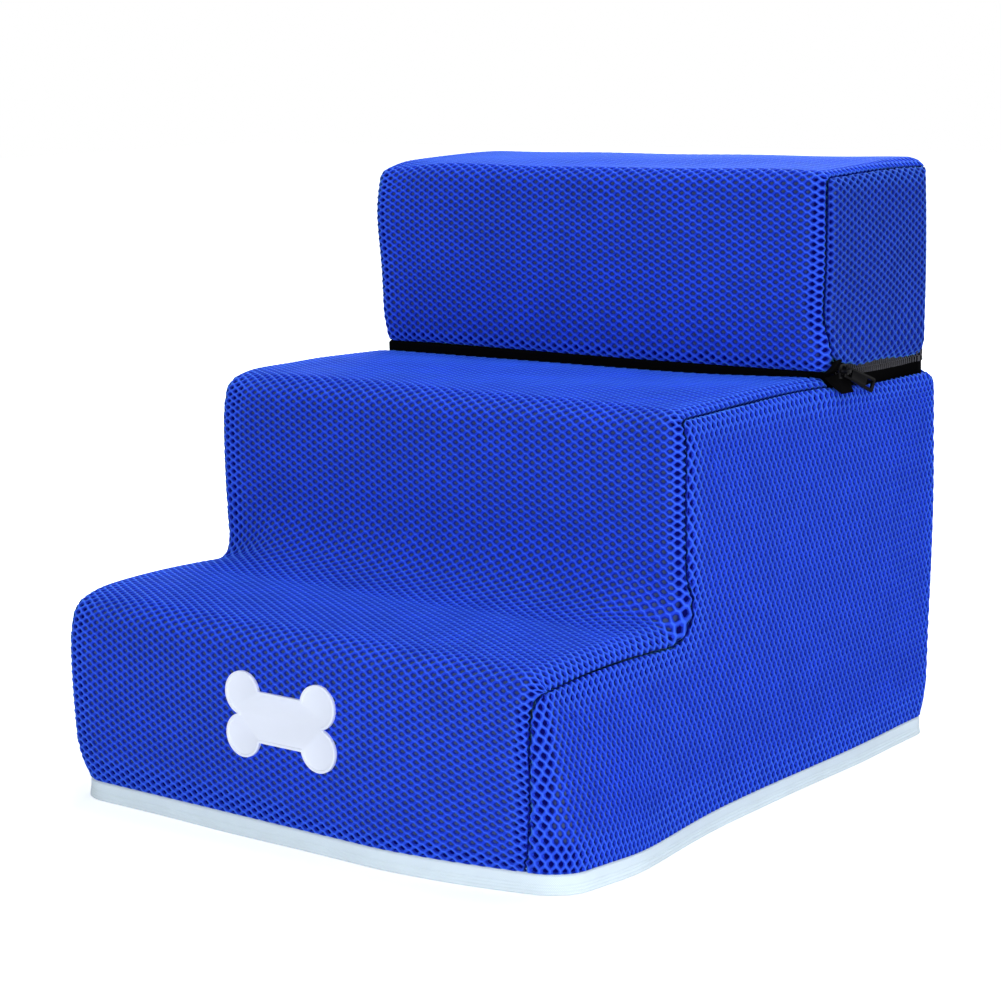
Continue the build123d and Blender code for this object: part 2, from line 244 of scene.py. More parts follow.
def knit_group():
    """The knots between the holes of mesh cloth, and the one of its two slants that catches the light."""
    group, inside, out = new_group(
        "knit", [("Turn", "NodeSocketFloat", 2 * math.pi)],
        [("Knots", "NodeSocketFloat"), ("Slant", "NodeSocketFloat")],
    )
    first, second = cloth_waves(group, inside, ("Turn", "Turn"))
    knots = times(group, first[1], second[1])
    slant = times(group, first[0], second[0])
    knots, slant = (plus(group, times(group, value, 0.5), 0.5) for value in (knots, slant))
    link_all(group, out, Knots=knots, Slant=slant)
    return group


mottle, weave, knit = mottle_group(), weave_group(), knit_group()


def new_material(name, color, roughness, specular):
    """A material with its node tree and shader."""
    material = bpy.data.materials.new(name)
    material.use_nodes = True
    shader = material.node_tree.nodes["Principled BSDF"]
    for socket, value in (("Base Color", (*color, 1)), ("Roughness", roughness),
                          ("Specular IOR Level", specular)):
        shader.inputs[socket].default_value = value
    return material, material.node_tree, shader


def placed(tree, group, **values):
    """One placed copy of a shader group, with its values."""
    return new_node(tree, "Group", values, node_tree=group)


def bumped(tree, shader, height, strength, distance):
    """Feeds a height to the shader's normal."""
    bump = new_node(tree, "Bump", {"Height": height, "Strength": strength, "Distance": distance})
    link_all(tree, shader, Normal=bump.outputs["Normal"])


def kept_value(tree, name):
    """A value that the mesh keeps at its points."""
    return new_node(tree, "Attribute", {}, attribute_name=name).outputs["Fac"]


def mesh_yarn_material(name, painted_shade_scale=1.0):
    """Royal blue knitted mesh, painted with light: a painted highlight along the strands' ridges, at the
    knots, on one slant and beside the seams, and painted shade on the slopes into the holes and in the
    seams' grooves. A scale below 1 darkens all of it as painted shade.
    """
    material, tree, shader = new_material(name, (0.012, 0.05, 0.6), 0.6, specular=0.06)
    for socket, value in (("Weight", 0.36), ("Roughness", 0.35), ("Tint", (0.22, 0.86, 1.0, 1))):
        shader.inputs["Sheen " + socket].default_value = value
    # Painted shade for the slopes into the holes, the yarn's own mid blue, and a painted highlight, all
    # dimmed together by the painted shade scale
    painted_slope_shade, middle, painted_highlight = ((red * painted_shade_scale, green * painted_shade_scale, blue * painted_shade_scale, 1) for red, green, blue in
                            ((0.005, 0.020, 0.33), (0.012, 0.046, 0.66), (0.042, 0.145, 0.98)))
    shade = placed(tree, mottle, Color=middle, Scale=45.0, Amount=0.3)
    ridge = kept_value(tree, "ridge")
    pattern = placed(tree, knit)
    knots, slant = pattern.outputs["Knots"], pattern.outputs["Slant"]
    # Painted shade mask: the strands' middles and knots keep their blue, and their slopes take the painted
    # shade
    rim = maths(tree, "MAXIMUM", soft_ramp(tree, ridge, 0.0, 0.35), soft_ramp(tree, knots, 0.44, 0.56))
    strand = mixed(tree, rim, painted_slope_shade, shade.outputs["Color"])
    # Painted highlight: stronger at the knots and weaker on one slant, only along the strands' ridges, and
    # added beside the seams and hems
    light = plus(tree, times(tree, knots, 0.62), times(tree, slant, -0.34))
    light = soft_ramp(tree, times(tree, light, ridge, clamp=True), 0.06, 0.52)
    beside = times(tree, soft_ramp(tree, kept_value(tree, "edge"), 1.7, 0.7), ridge)
    light = plus(tree, light, times(tree, beside, 0.45), clamp=True)
    lit = mixed(tree, light, strand, painted_highlight)
    # Painted shade in the seams' grooves: the cloth that turns into them is dark navy
    seam = soft_ramp(tree, kept_value(tree, "seam"), -0.0008, 0.0008)
    tree.links.new(mixed(tree, seam, (0.002, 0.006, 0.26, 1), lit), shader.inputs["Base Color"])
    threads = placed(tree, weave, Across=44.0, Along=25.0)
    relief = plus(tree, times(tree, knots, 3.0), threads.outputs["Height"])
    bumped(tree, shader, relief, 0.7, 0.00014)
    return material


def mesh_hole_material():
    """What shows in the holes, painted on their bottoms: the grey lining behind, darker and bluer than the
    lining itself as painted shade, over the faces; the cloth behind in dark navy painted shade beside the
    seams; and shaded yarn at each hole's corners.
    """
    material, tree, shader = new_material("mesh_hole", (0.03, 0.05, 0.2), 0.9, specular=0.05)
    grey = placed(tree, mottle, Color=(0.050, 0.078, 0.20, 1), Scale=140.0, Amount=0.5)
    knots = placed(tree, knit).outputs["Knots"]
    # Painted shade: each hole's corners take the shaded yarn colour, and only its middle shows the dimmed
    # grey lining
    inner = mixed(tree, soft_ramp(tree, knots, 0.46, 0.24), (0.007, 0.030, 0.42, 1), grey.outputs["Color"])
    # Painted shade beside the seams: a dark navy middle, with shaded yarn at the corners
    dark = mixed(tree, soft_ramp(tree, knots, 0.52, 0.40), (0.006, 0.026, 0.40, 1), (0.001, 0.002, 0.12, 1))
    # Where the painted shade beside the seams gives way to the lining, with a wandering border
    drift = new_node(tree, "TexNoise", {"Vector": object_place(tree), "Scale": 40})
    wander = times(tree, maths(tree, "SUBTRACT", drift.outputs["Fac"], 0.5), 0.9)
    inward = soft_ramp(tree, plus(tree, kept_value(tree, "edge"), wander), 0.8, 1.25)
    tree.links.new(mixed(tree, inward, dark, inner), shader.inputs["Base Color"])
    bumped(tree, shader, grey.outputs["Mask"], 0.3, 0.0003)
    return material


def cloth_material(name, color, across, along, depth, roughness, groove=0.55, specular=0.25):
    """Plain woven cloth of one colour, its threads at the given spacings and darker between them."""
    material, tree, shader = new_material(name, color, roughness, specular=specular)
    shade = placed(tree, mottle, Color=(*color, 1), Scale=60.0, Amount=0.18)
    threads = placed(tree, weave, Across=2 * math.pi / across, Along=2 * math.pi / along)
    darker = (*(groove * part for part in color), 1)
    woven = mixed(tree, threads.outputs["Mask"], darker, shade.outputs["Color"])
    tree.links.new(woven, shader.inputs["Base Color"])
    bumped(tree, shader, threads.outputs["Height"], 0.5, depth)
    return material


def moulded_material(name, color, roughness, grain, uneven, specular=0.5):
    """Moulded or painted surface, with a fine grain and slightly uneven gloss."""
    material, tree, shader = new_material(name, color, roughness, specular=specular)
    shade = placed(tree, mottle, Color=(*color, 1), Scale=30.0, Amount=uneven)
    tree.links.new(shade.outputs["Color"], shader.inputs["Base Color"])
    fine = placed(tree, mottle, Scale=900.0)
    gloss = plus(tree, times(tree, shade.outputs["Mask"], 0.2), roughness - 0.1)
    tree.links.new(gloss, shader.inputs["Roughness"])
    bumped(tree, shader, fine.outputs["Mask"], 0.35, grain)
    return material


def foam_material():
    """Cream foam with open cells."""
    cream, pore = (0.78, 0.70, 0.50), (0.45, 0.38, 0.24, 1)
    material, tree, shader = new_material("cream_foam", cream, 0.9, specular=0.2)
    shade = placed(tree, mottle, Color=(*cream, 1), Scale=25.0, Amount=0.12)
    cells = new_node(tree, "TexVoronoi", {"Vector": object_place(tree), "Scale": 700})
    pores = soft_ramp(tree, cells.outputs["Distance"], 0.15, 0.6)
    tree.links.new(mixed(tree, pores, pore, shade.outputs["Color"]), shader.inputs["Base Color"])
    bumped(tree, shader, pores, 0.6, 0.0004)
    return material


mesh_yarn = mesh_yarn_material("mesh_yarn")
# Painted shade: a darker copy of the yarn, for the top block's sides
mesh_yarn_painted_shade = mesh_yarn_material("mesh_yarn_painted_shade", 0.72)
mesh_hole = mesh_hole_material()
grey_cloth = cloth_material("grey_cloth", (0.16, 0.17, 0.20), 0.8 * mm, 0.8 * mm, 0.15 * mm, 0.8)
black_cloth = cloth_material("black_cloth", (0.0025, 0.0025, 0.003), 0.9 * mm, 0.6 * mm, 0.12 * mm, 0.85,
                             specular=0.015)
white_webbing = cloth_material("white_webbing", (0.80, 0.93, 0.99), 0.9 * mm, 1.3 * mm, 0.05 * mm, 0.6,
                               groove=0.9)
cream_foam = foam_material()
white_patch = moulded_material("white_patch", (0.80, 0.86, 0.98), 0.42, 0.00004, 0.03)
black_nylon = moulded_material("black_nylon", (0.065, 0.065, 0.078), 0.3, 0.00003, 0.3, specular=0.35)
black_metal = moulded_material("black_metal", (0.002, 0.002, 0.003), 0.2, 0.00002, 0.2, specular=0.1)


def start_edit(piece, mode):
    """Selects one piece, and clears the selection of its parts."""
    bpy.ops.object.select_all(action="DESELECT")
    piece.select_set(True)
    bpy.context.view_layer.objects.active = piece
    bpy.ops.object.mode_set(mode="EDIT")
    bpy.ops.mesh.select_mode(type=mode)
    bpy.ops.mesh.select_all(action="DESELECT")
    bpy.ops.object.mode_set(mode="OBJECT")


def run_in_edit(*operations):
    """Runs mesh operators on what is selected."""
    bpy.ops.object.mode_set(mode="EDIT")
    for operation in operations:
        operation()
    bpy.ops.object.mode_set(mode="OBJECT")


def edit_all(piece, mode, *operations):
    """Runs mesh operators on the whole of a piece."""
    start_edit(piece, mode)
    run_in_edit(lambda: bpy.ops.mesh.select_all(action="SELECT"), *operations)


def read_all(elements, name, kind=float, width=1):
    """One value, or a row of them, for each of a mesh's points, edges, faces or corners."""
    found = np.empty(len(elements) * width, dtype=kind)
    elements.foreach_get(name, found)
    return found.reshape(-1, width) if width > 1 else found


def coordinates(piece):
    """All the vertices of a piece as an array of places."""
    return read_all(piece.data.vertices, "co", width=3)


def set_coordinates(piece, places):
    """Puts every vertex of a piece in its place."""
    piece.data.vertices.foreach_set("co", np.ascontiguousarray(places, dtype=np.float32).ravel())
    piece.data.update()


def mark(elements, chosen):
    """Selects the chosen ones of a mesh's vertices, edges or faces."""
    elements.foreach_set("select", np.asarray(chosen, dtype=bool))


def keep_values(piece, name, values):
    """Keeps one value for each point of a piece, for its material."""
    kept = piece.data.attributes.get(name) or piece.data.attributes.new(name, "FLOAT", "POINT")
    kept.data.foreach_set("value", np.asarray(values, dtype=np.float32))


def keep_map(piece, flat):
    """Keeps the flat place of each point as the piece's cloth map."""
    corners = read_all(piece.data.loops, "vertex_index", int)
    layer = piece.data.uv_layers.get("cloth") or piece.data.uv_layers.new(name="cloth")
    layer.data.foreach_set("uv", np.asarray(flat)[corners, :2].astype(np.float32).ravel())


def finish_piece(piece, material, body, nodes=(), smooth_angle=None):
    """Gives a piece its material and smooth shading, and says what it rides on and stands for."""
    if material:
        piece.data.materials.clear()
        piece.data.materials.append(material)
    if smooth_angle is None:
        piece.data.polygons.foreach_set("use_smooth", [True] * len(piece.data.polygons))
    else:
        start_edit(piece, "FACE")
        bpy.ops.object.shade_smooth_by_angle(angle=math.radians(smooth_angle))
    piece.data.update()
    if body:
        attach(piece, body)
    if nodes:
        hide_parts(*nodes)
    return piece


def flat_grid(name, columns, rows):
    """A flat grid primitive, with the column and row of each vertex."""
    bpy.ops.object.select_all(action="DESELECT")
    bpy.ops.mesh.primitive_grid_add(x_subdivisions=columns, y_subdivisions=rows, size=1)
    grid = bpy.context.object
    grid.name = grid.data.name = name
    places = coordinates(grid)
    column = np.rint((places[:, 0] + 0.5) * columns).astype(int)
    row = np.rint((places[:, 1] + 0.5) * rows).astype(int)
    return grid, column, row


def new_cube(name):
    """A cube primitive, one metre wide."""
    bpy.ops.object.select_all(action="DESELECT")
    bpy.ops.mesh.primitive_cube_add(size=1)
    cube = bpy.context.object
    cube.name = cube.data.name = name
    return cube


def apply_modifier(piece, kind, **settings):
    """Adds a modifier with its settings and applies it."""
    start_edit(piece, "VERT")
    modifier = piece.modifiers.new(kind.lower(), kind)
    for name, value in settings.items():
        setattr(modifier, name, value)
    bpy.ops.object.modifier_apply(modifier=modifier.name)


# Mesh cloth
def flat_mesh_cloth(name, low, high, pitches, yarn):
    """A flat sheet of mesh cloth: six-sided cells, each with a sunk hole in its middle.

    The holes lie in rows and half-stepped rows, and the cells' points lie along the longer pitch."""
    long_axis = 0 if pitches[0] > pitches[1] else 1
    long_pitch, short_pitch = max(pitches), min(pitches)
    spans = [high[0] - low[0], high[1] - low[1]]
    columns = math.ceil(spans[long_axis] / (long_pitch / 2))
    rows = 2 * math.ceil(spans[1 - long_axis] / short_pitch)
    cloth, column, row = flat_grid(name, columns, rows)

    # Brick pattern: every second cross edge goes, half a step on in the next column
    start_edit(cloth, "EDGE")
    ends = read_all(cloth.data.edges, "vertices", int, 2)
    crossing = row[ends[:, 0]] == row[ends[:, 1]]
    left = np.minimum(column[ends[:, 0]], column[ends[:, 1]])
    inner = (row[ends[:, 0]] > 0) & (row[ends[:, 0]] < rows)
    spare = crossing & inner & ((left + row[ends[:, 0]]) % 2 == 1)

    # The bricks' corners are drawn towards the edge that stays, which makes the cells six-sided
    toward = np.where((column + row) % 2 == 0, 1, -1)
    long_place = column * long_pitch / 2 + toward * point_share * long_pitch
    short_place = row * short_pitch / 2
    start = ((low[long_axis] + high[long_axis]) / 2 - columns * long_pitch / 4,
             (low[1 - long_axis] + high[1 - long_axis]) / 2 - rows * short_pitch / 4)
    flat = np.zeros((len(column), 3))
    flat[:, long_axis] = long_place + start[0]
    flat[:, 1 - long_axis] = short_place + start[1]
    set_coordinates(cloth, flat)
    mark(cloth.data.edges, spare)
    run_in_edit(lambda: bpy.ops.mesh.dissolve_edges(use_verts=False))
    edit_all(
        cloth, "FACE",
        lambda: bpy.ops.mesh.normals_make_consistent(inside=False),
        lambda: bpy.ops.mesh.inset(thickness=strand_half_width, depth=-strand_drop, use_individual=True),
        lambda: bpy.ops.mesh.inset(thickness=hole_draw_in, depth=-hole_depth, use_individual=True),
    )
    chosen = read_all(cloth.data.polygons, "select", bool)
    cloth.data.materials.append(yarn)
    cloth.data.materials.append(mesh_hole)
    cloth.data.polygons.foreach_set("material_index", chosen.astype(np.int32))
    flat = coordinates(cloth)
    if flat[:, 2].max() > strand_drop / 2:
        cloth.data.flip_normals()
        flat[:, 2] = -flat[:, 2]
        set_coordinates(cloth, flat)
    keep_values(cloth, "ridge", 1 - np.clip(-flat[:, 2] / strand_drop, 0, 1))
    keep_map(cloth, np.column_stack(((flat[:, long_axis] - start[0]) / long_pitch - 0.25,
                                     (flat[:, 1 - long_axis] - start[1]) / short_pitch)))
    return cloth


def trim(cloth, spare):
    """Deletes the faces all of whose vertices are spare."""
    start_edit(cloth, "FACE")
    counts = read_all(cloth.data.polygons, "loop_total", int)
    corners = read_all(cloth.data.loops, "vertex_index", int)
    starts = np.concatenate(([0], np.cumsum(counts)[:-1]))
    mark(cloth.data.polygons, np.minimum.reduceat(spare[corners].astype(int), starts) == 1)
    run_in_edit(lambda: bpy.ops.mesh.delete(type="FACE"))


# Side views of the two blocks
class RoundedLine:
    """A line with rounded corners, which are tight at the seams and may be softer between them."""

    def __init__(self, corners, tight_radii, soft_radii, swells, outward_left):
        self.turn = 1 if outward_left else -1
        corners = np.asarray(corners, dtype=float)
        reaches = [0.0, *(max(pair) for pair in zip(tight_radii, soft_radii)), 0.0]
        self.tight = self.drawn(corners, [0, *tight_radii, 0], reaches, swells)
        self.soft = self.drawn(corners, [0, *soft_radii, 0], reaches, swells)
        self.run = np.concatenate(([0], np.cumsum(np.hypot(*np.diff(self.soft, axis=0).T))))
        self.length = self.run[-1]
        self.tight_along, self.soft_along = (
            np.gradient(points, self.run, axis=0) for points in (self.tight, self.soft))

    def drawn(self, corners, radii, reaches, swells):
        """The line's points: each corner rounded by its radius, and each face swollen outwards."""
        steps_round, steps_flat = 26, 50
        ways = np.diff(corners, axis=0)
        lengths = np.linalg.norm(ways, axis=1)
        ways /= lengths[:, None]
        points, faces = [], []
        for face, way in enumerate(ways):
            spans = [self.reach(ways, end, reaches[end]) for end in (face, face + 1)]
            begin = corners[face] + way * spans[0]
            finish = corners[face + 1] - way * spans[1]
            shares = np.linspace(0, 1, steps_flat)
            for share in shares[1:] if face and not reaches[face] else shares:
                points.append(begin + share * (finish - begin))
                faces.append(face)
            if face + 1 < len(ways) and reaches[face + 1]:
                corner = self.corner(corners[face + 1], way, ways[face + 1], radii[face + 1], spans[1],
                                     steps_round)
                points.extend(corner)
                faces.extend([face] * (len(corner) // 2) + [face + 1] * (len(corner) - len(corner) // 2))
        swollen = []
        for point, face in zip(points, faces):
            way = ways[face]
            share = min(max((point - corners[face]) @ way / lengths[face], 0), 1)
            outward = self.turn * np.array([-way[1], way[0]])
            swollen.append(point + outward * swells[face] * 4 * share * (1 - share))
        return np.array(swollen)

    def reach(self, ways, place, radius):
        """How far from a corner its rounding starts."""
        if place in (0, len(ways)):
            return 0.0
        before, after = ways[place - 1], ways[place]
        angle = abs(math.atan2(before[0] * after[1] - before[1] * after[0], before @ after))
        return radius * math.tan(angle / 2)

    def corner(self, corner, before, after, radius, reach, steps):
        """Points along one corner, evenly spread over a short flat, the rounding and a short flat."""
        turn = math.atan2(before[0] * after[1] - before[1] * after[0], before @ after)
        inner = radius * math.tan(abs(turn) / 2)
        flat, arc = reach - inner, radius * abs(turn)
        start = corner - before * inner
        centre = start + math.copysign(radius, turn) * np.array([-before[1], before[0]])
        found = []
        for step in range(1, steps):
            run = (2 * flat + arc) * step / steps
            if run < flat:
                found.append(corner - before * (reach - run))
            elif run > flat + arc:
                found.append(corner + after * (inner + run - flat - arc))
            else:
                angle = math.copysign((run - flat) / radius, turn) if radius else 0
                spoke = start - centre
                turned = (spoke[0] * math.cos(angle) - spoke[1] * math.sin(angle),
                          spoke[0] * math.sin(angle) + spoke[1] * math.cos(angle))
                found.append(centre + turned)
        return found

    def at(self, run, softness):
        """Places, directions and outward normals at the given runs and softness."""
        def read(values):
            return np.column_stack([np.interp(run, self.run, part) for part in values.T])
        share = np.asarray(softness)[:, None]
        place = read(self.tight) * (1 - share) + read(self.soft) * share
        along = read(self.tight_along) * (1 - share) + read(self.soft_along) * share
        along /= np.linalg.norm(along, axis=1)[:, None]
        return place, along, self.turn * np.column_stack((-along[:, 1], along[:, 0]))

    def nearest(self, places):
        """Nearest point on the tight line, the inward way and the depth inside it, for each place."""
        begin, step = self.tight[:-1], np.diff(self.tight, axis=0)
        squares = (step ** 2).sum(1)
        keep = squares > 0
        begin, step, squares, runs = begin[keep], step[keep], squares[keep], self.run[:-1][keep]
        spans = np.diff(self.run)[keep]
        found, inward, depth = [], [], []
        for chunk in np.array_split(places, max(1, len(places) // 4000)):
            gap = chunk[:, None, :] - begin[None]
            share = np.clip((gap * step[None]).sum(2) / squares, 0, 1)
            away = gap - share[:, :, None] * step[None]
            best = (away ** 2).sum(2).argmin(1)
            rows = np.arange(len(chunk))
            run = runs[best] + share[rows, best] * spans[best]
            point, _, normal = self.at(run, np.zeros(len(run)))
            gap = chunk - point
            side = np.where((gap * -normal).sum(1) < 0, -1.0, 1.0)
            far = np.linalg.norm(gap, axis=1)
            straight = side[:, None] * gap / np.maximum(far, 1e-9)[:, None]
            found.append(point)
            inward.append(np.where((far > 2 * mm)[:, None], straight, -normal))
            depth.append(side * far)
        return np.concatenate(found), np.concatenate(inward), np.concatenate(depth)


def quarter(centre, radius, first, last, steps):
    """Points along an arc of the side view, from one angle to another."""
    return [(centre[0] + radius * math.cos(angle), centre[1] + radius * math.sin(angle))
            for angle in np.linspace(first, last, steps)]


foot_z = mesh_foot - 2 * flange
arc_steps = 8
rear_arc = quarter((back_y - rear_radius, deck_z - rear_radius), rear_radius, 0, seam_angle, arc_steps)
top_rear_arc = quarter((back_y - rear_radius, top_low_z + rear_radius), rear_radius, 0, -seam_angle,
                       arc_steps)
arc_flats = [0] * (arc_steps - 1)
top_middle_y = (top_front_y + back_y) / 2
top_foot_radius = 4 * mm

steps = [(front_y, step_1_z), (riser_2_y, step_1_z), (riser_2_y, deck_z), (top_front_y, tread_2_back_z)]
steps_tight = [crest_at_seam, hollow_at_seam, crest_at_seam]
steps_soft = [crest_radius, hollow_radius, crest_radius]
steps_swell = [riser_bow, tread_crown, riser_bow, deck_crown]

base_front_line = RoundedLine([(front_y, mesh_foot), *steps], steps_tight, steps_soft, steps_swell, True)
base_back_line = RoundedLine([(back_y, mesh_foot), *rear_arc], arc_flats, arc_flats, [back_bow, *arc_flats],
                             False)
base_side_line = RoundedLine(
    [(front_y, foot_z), *steps, (back_y, deck_z), (back_y, foot_z)],
    [*steps_tight, deck_bend, rear_radius], [*steps_soft, deck_bend, rear_radius],
    [*steps_swell, 0, back_bow], True)
top_strip_line = RoundedLine(
    [(top_front_y, top_low_z), (top_front_y, top_z), (back_y, top_z), *top_rear_arc],
    [top_crest_at_seam, top_crest_at_seam, *arc_flats], [top_crest_radius, top_crest_radius, *arc_flats],
    [riser_bow, top_crown, back_bow, *arc_flats], True)
top_side_line = RoundedLine(
    [(top_middle_y, top_low_z), (top_front_y, top_low_z), (top_front_y, top_z), (back_y, top_z),
     (back_y, top_low_z), (top_middle_y, top_low_z)],
    [top_foot_radius, top_crest_at_seam, top_crest_at_seam, rear_radius],
    [top_foot_radius, top_crest_radius, top_crest_radius, rear_radius],
    [0, riser_bow, top_crown, back_bow, 0], True)


# How the sewn and stuffed blocks depart from their patterns
def base_edge_radius(right, y, z):
    """Radius of the base's edges along the seams, at places of the side view."""
    radius = np.where(right, right_edge_radius, left_edge_radius)
    radius = radius + (rear_edge_radius - radius) * ramp(y, 120 * mm, 180 * mm)
    foot = np.clip(1 - (z - hem_top) / (26 * mm), 0, 1) ** 2
    return radius + foot * np.where(y > 0, 9 * mm, np.where(right, 4 * mm, 13 * mm))


def base_seam_shift(right, y, z):
    """How far the right seam lies on the strip: it drifts onto riser 1 and off tread 1."""
    drift = seam_drift * np.clip(1 - (z - hem_top) / (105 * mm), 0, 1) * (y < -100 * mm)
    tread_1 = 7.0 * mm * ramp(z, 102 * mm, 118 * mm) * ramp(z, 150 * mm, 128 * mm)
    riser_2 = 3.0 * mm * ramp(z, 128 * mm, 150 * mm) * ramp(z, deck_z, deck_z - 20 * mm)
    onto_side = (tread_1 + riser_2) * ramp(y, 20 * mm, -60 * mm)
    return np.where(right, drift - onto_side, 0)


def top_edge_radius(right, y, z):
    """Radius of the top block's edges along the seams, fuller at the rear."""
    return top_edge_front + (top_edge_rear - top_edge_front) * ramp(y, 110 * mm, 195 * mm)


def top_seam_shift(right, y, z):
    """The top's front seams turn off the strip at their lower end."""
    return -6.0 * mm * ramp(z, top_low_z + 34 * mm, top_low_z + 6 * mm) * ramp(y, 130 * mm, 90 * mm)


def eased(y, z, corner, share):
    """A corner of the side view drawn back diagonally, as stuffing leaves it rounder."""
    away = (y - corner[0]) ** 2 + (z - corner[1]) ** 2
    return crest_ease * share * np.exp(-away / crest_ease_reach ** 2)


def settle_base(places):
    """Moves the base's points as its soft corners have settled."""
    x, y, z = places.T
    right, left = ramp(x, 60 * mm, 165 * mm), ramp(x, -90 * mm, -170 * mm)
    low, high = ramp(z, 125 * mm, hem_top), ramp(z, 215 * mm, 235 * mm)

    # The foot's front right corner is pulled back, and the right side swells behind it
    corner = np.clip((x - 60 * mm) / (100 * mm), 0, 1.08) ** 1.5
    back = foot_corner_pull * corner * low * ramp(y, -100 * mm, -190 * mm)
    swell = foot_swell * hump(y, -132 * mm, 62 * mm) + rear_foot_swell * hump(y, 95 * mm, 60 * mm)
    out = right * low * swell

    # The rear right corner leans out and back, and the front left one swells over its foot
    leaning = right * ramp(y, 60 * mm, 200 * mm) * ramp(z, 20 * mm, 170 * mm)
    out += rear_lean_out * leaning
    back += rear_lean_back * leaning
    above_foot = left_crest_swell * ramp(z, 15 * mm, 105 * mm) - left_foot_tuck
    out -= left * ramp(y, -60 * mm, -160 * mm) * above_foot

    # The second tread reaches under the zip's front right corner, and lies lower on the left
    under_corner = ramp(y, 55 * mm, 79 * mm) * ramp(y, 140 * mm, 95 * mm) * ramp(z, 215 * mm, 232 * mm)
    back += zip_corner_cover * ramp(x, 138 * mm, 160 * mm) * under_corner
    deck = high * ramp(y, -60 * mm, 60 * mm) * ramp(y, 130 * mm, 90 * mm)
    tilt = deck_left_drop * ramp(x, 0, -165 * mm) - deck_right_rise * hump(x, 165 * mm, 60 * mm)
    down = deck * tilt + left_crest_drop * high * left * ramp(y, 20 * mm, -20 * mm)

    # The cloth under the zip hangs a little, more towards the rear
    zip_side = ramp(np.abs(x), 158 * mm, 168 * mm) * ramp(z, 205 * mm, 232 * mm) * ramp(y, 72 * mm, 98 * mm)
    down += zip_side * (base_zip_drop + base_zip_rear_drop * ramp(y, 110 * mm, 190 * mm))

    # The left ends of the crests are eased
    left_end = ramp(x, -112 * mm, -168 * mm)
    inward = eased(y, z, (front_y, step_1_z), left_end) + eased(y, z, (riser_2_y, deck_z), left_end)
    return np.column_stack((x + out, y + back + inward, z - down - inward))


def settle_top(places):
    """Moves the top block's points as its soft corners have settled."""
    x, y, z = places.T
    height = (z - top_low_z) / (top_z - top_low_z)
    front = ramp(y, 190 * mm, 90 * mm)

    # The front's upper edge is lower than the back's, and its lower edge sags over the band
    down = ramp(height, 0.2, 1.0) * top_front_drop * front
    sag = top_front_sag + top_middle_sag * hump(x, 40 * mm, 130 * mm)
    sag += top_left_sag * ramp(x, -120 * mm, -165 * mm)
    down += ramp(height, 0.3, 0.0) * front * sag

    # The sides hang down to the zip
    zip_side = ramp(np.abs(x), 158 * mm, 168 * mm) * ramp(height, 0.28, 0.05) * ramp(y, 84 * mm, 100 * mm)
    down += zip_side * (top_zip_drop - top_zip_rear_rise * ramp(y, 110 * mm, 190 * mm))
    down += top_rear_drop * ramp(y, 132 * mm, 186 * mm) * ramp(z, 278 * mm, 252 * mm)

    # The left side leans in towards its foot, and the right one swells at the front
    inward = top_left_tuck * ramp(x, -90 * mm, -165 * mm) * ramp(height, 0.75, 0.35)
    inward += top_left_foot_tuck * ramp(x, -140 * mm, -170 * mm) * ramp(height, 0.16, 0.0)
    front_right = ramp(x, 90 * mm, 165 * mm) * ramp(y, 150 * mm, 90 * mm)
    inward -= top_right_swell * front_right * ramp(height, 0.6, 0.2)
    eased_in = eased(y, z, (top_front_y, top_z), ramp(x, -112 * mm, -168 * mm))
    return np.column_stack((x + inward, y + eased_in, z - down - eased_in))


def ripple(first, second):
    """Slow unevenness of stretched cloth."""
    waves = np.sin(first * 31 + 1.3) * np.sin(second * 27 + 0.4)
    waves += 0.6 * np.sin(first * 53 + second * 41 + 2.1)
    waves += 0.5 * np.sin(first * 19 - second * 67 + 0.7)
    return cloth_ripple * waves


def folded(past, radius=fold_radius):
    """How cloth goes on, goes in and turns where it tucks into a seam, past the start of the turn."""
    turn = np.clip(past / radius, 0, math.pi / 2)
    onward = np.where(past > 0, (radius - seam_gap) * np.sin(turn), past)
    inward = radius * (1 - np.cos(turn)) + np.maximum(past - radius * math.pi / 2, 0)
    return onward, inward, turn


def side_stretch(y, z):
    """How far the side panel is pulled wider behind the risers."""
    riser_1 = (y < front_y + 3 * mm) * ramp(z, 112 * mm, 88 * mm)
    riser_2 = (np.abs(y - riser_2_y) < 3 * mm) * ramp(z, 228 * mm, 205 * mm) * ramp(z, 132 * mm, 152 * mm)
    return 0.42 * riser_1 + 0.30 * riser_2


def stretched(to_seam, stretch):
    """Cloth pulled wider beside a seam: the distance that a flat distance becomes."""
    return to_seam * (1 + stretch * np.exp(-np.clip(to_seam, 0, None) / (14 * mm)) * (to_seam > 0))


def wandering(y, z):
    """A small even wave of the seams."""
    return seam_wave * np.sin((z - y) * 2 * math.pi / strip_pitches[1])


class Block:
    """One stuffed block: its edge radii, seam drift, how it has settled, its cloth's pull and hem turn."""

    def __init__(self, body, edge_radius, seam_shift, settle, stretch, hem_radius):
        self.body, self.edge_radius, self.seam_shift = body, edge_radius, seam_shift
        self.settle, self.stretch, self.hem_radius = settle, stretch, hem_radius


base_block = Block("base", base_edge_radius, base_seam_shift, settle_base, 0.0, fold_radius)
top_block = Block("top_block", top_edge_radius, top_seam_shift, settle_top, 0.30, 3.5 * mm)


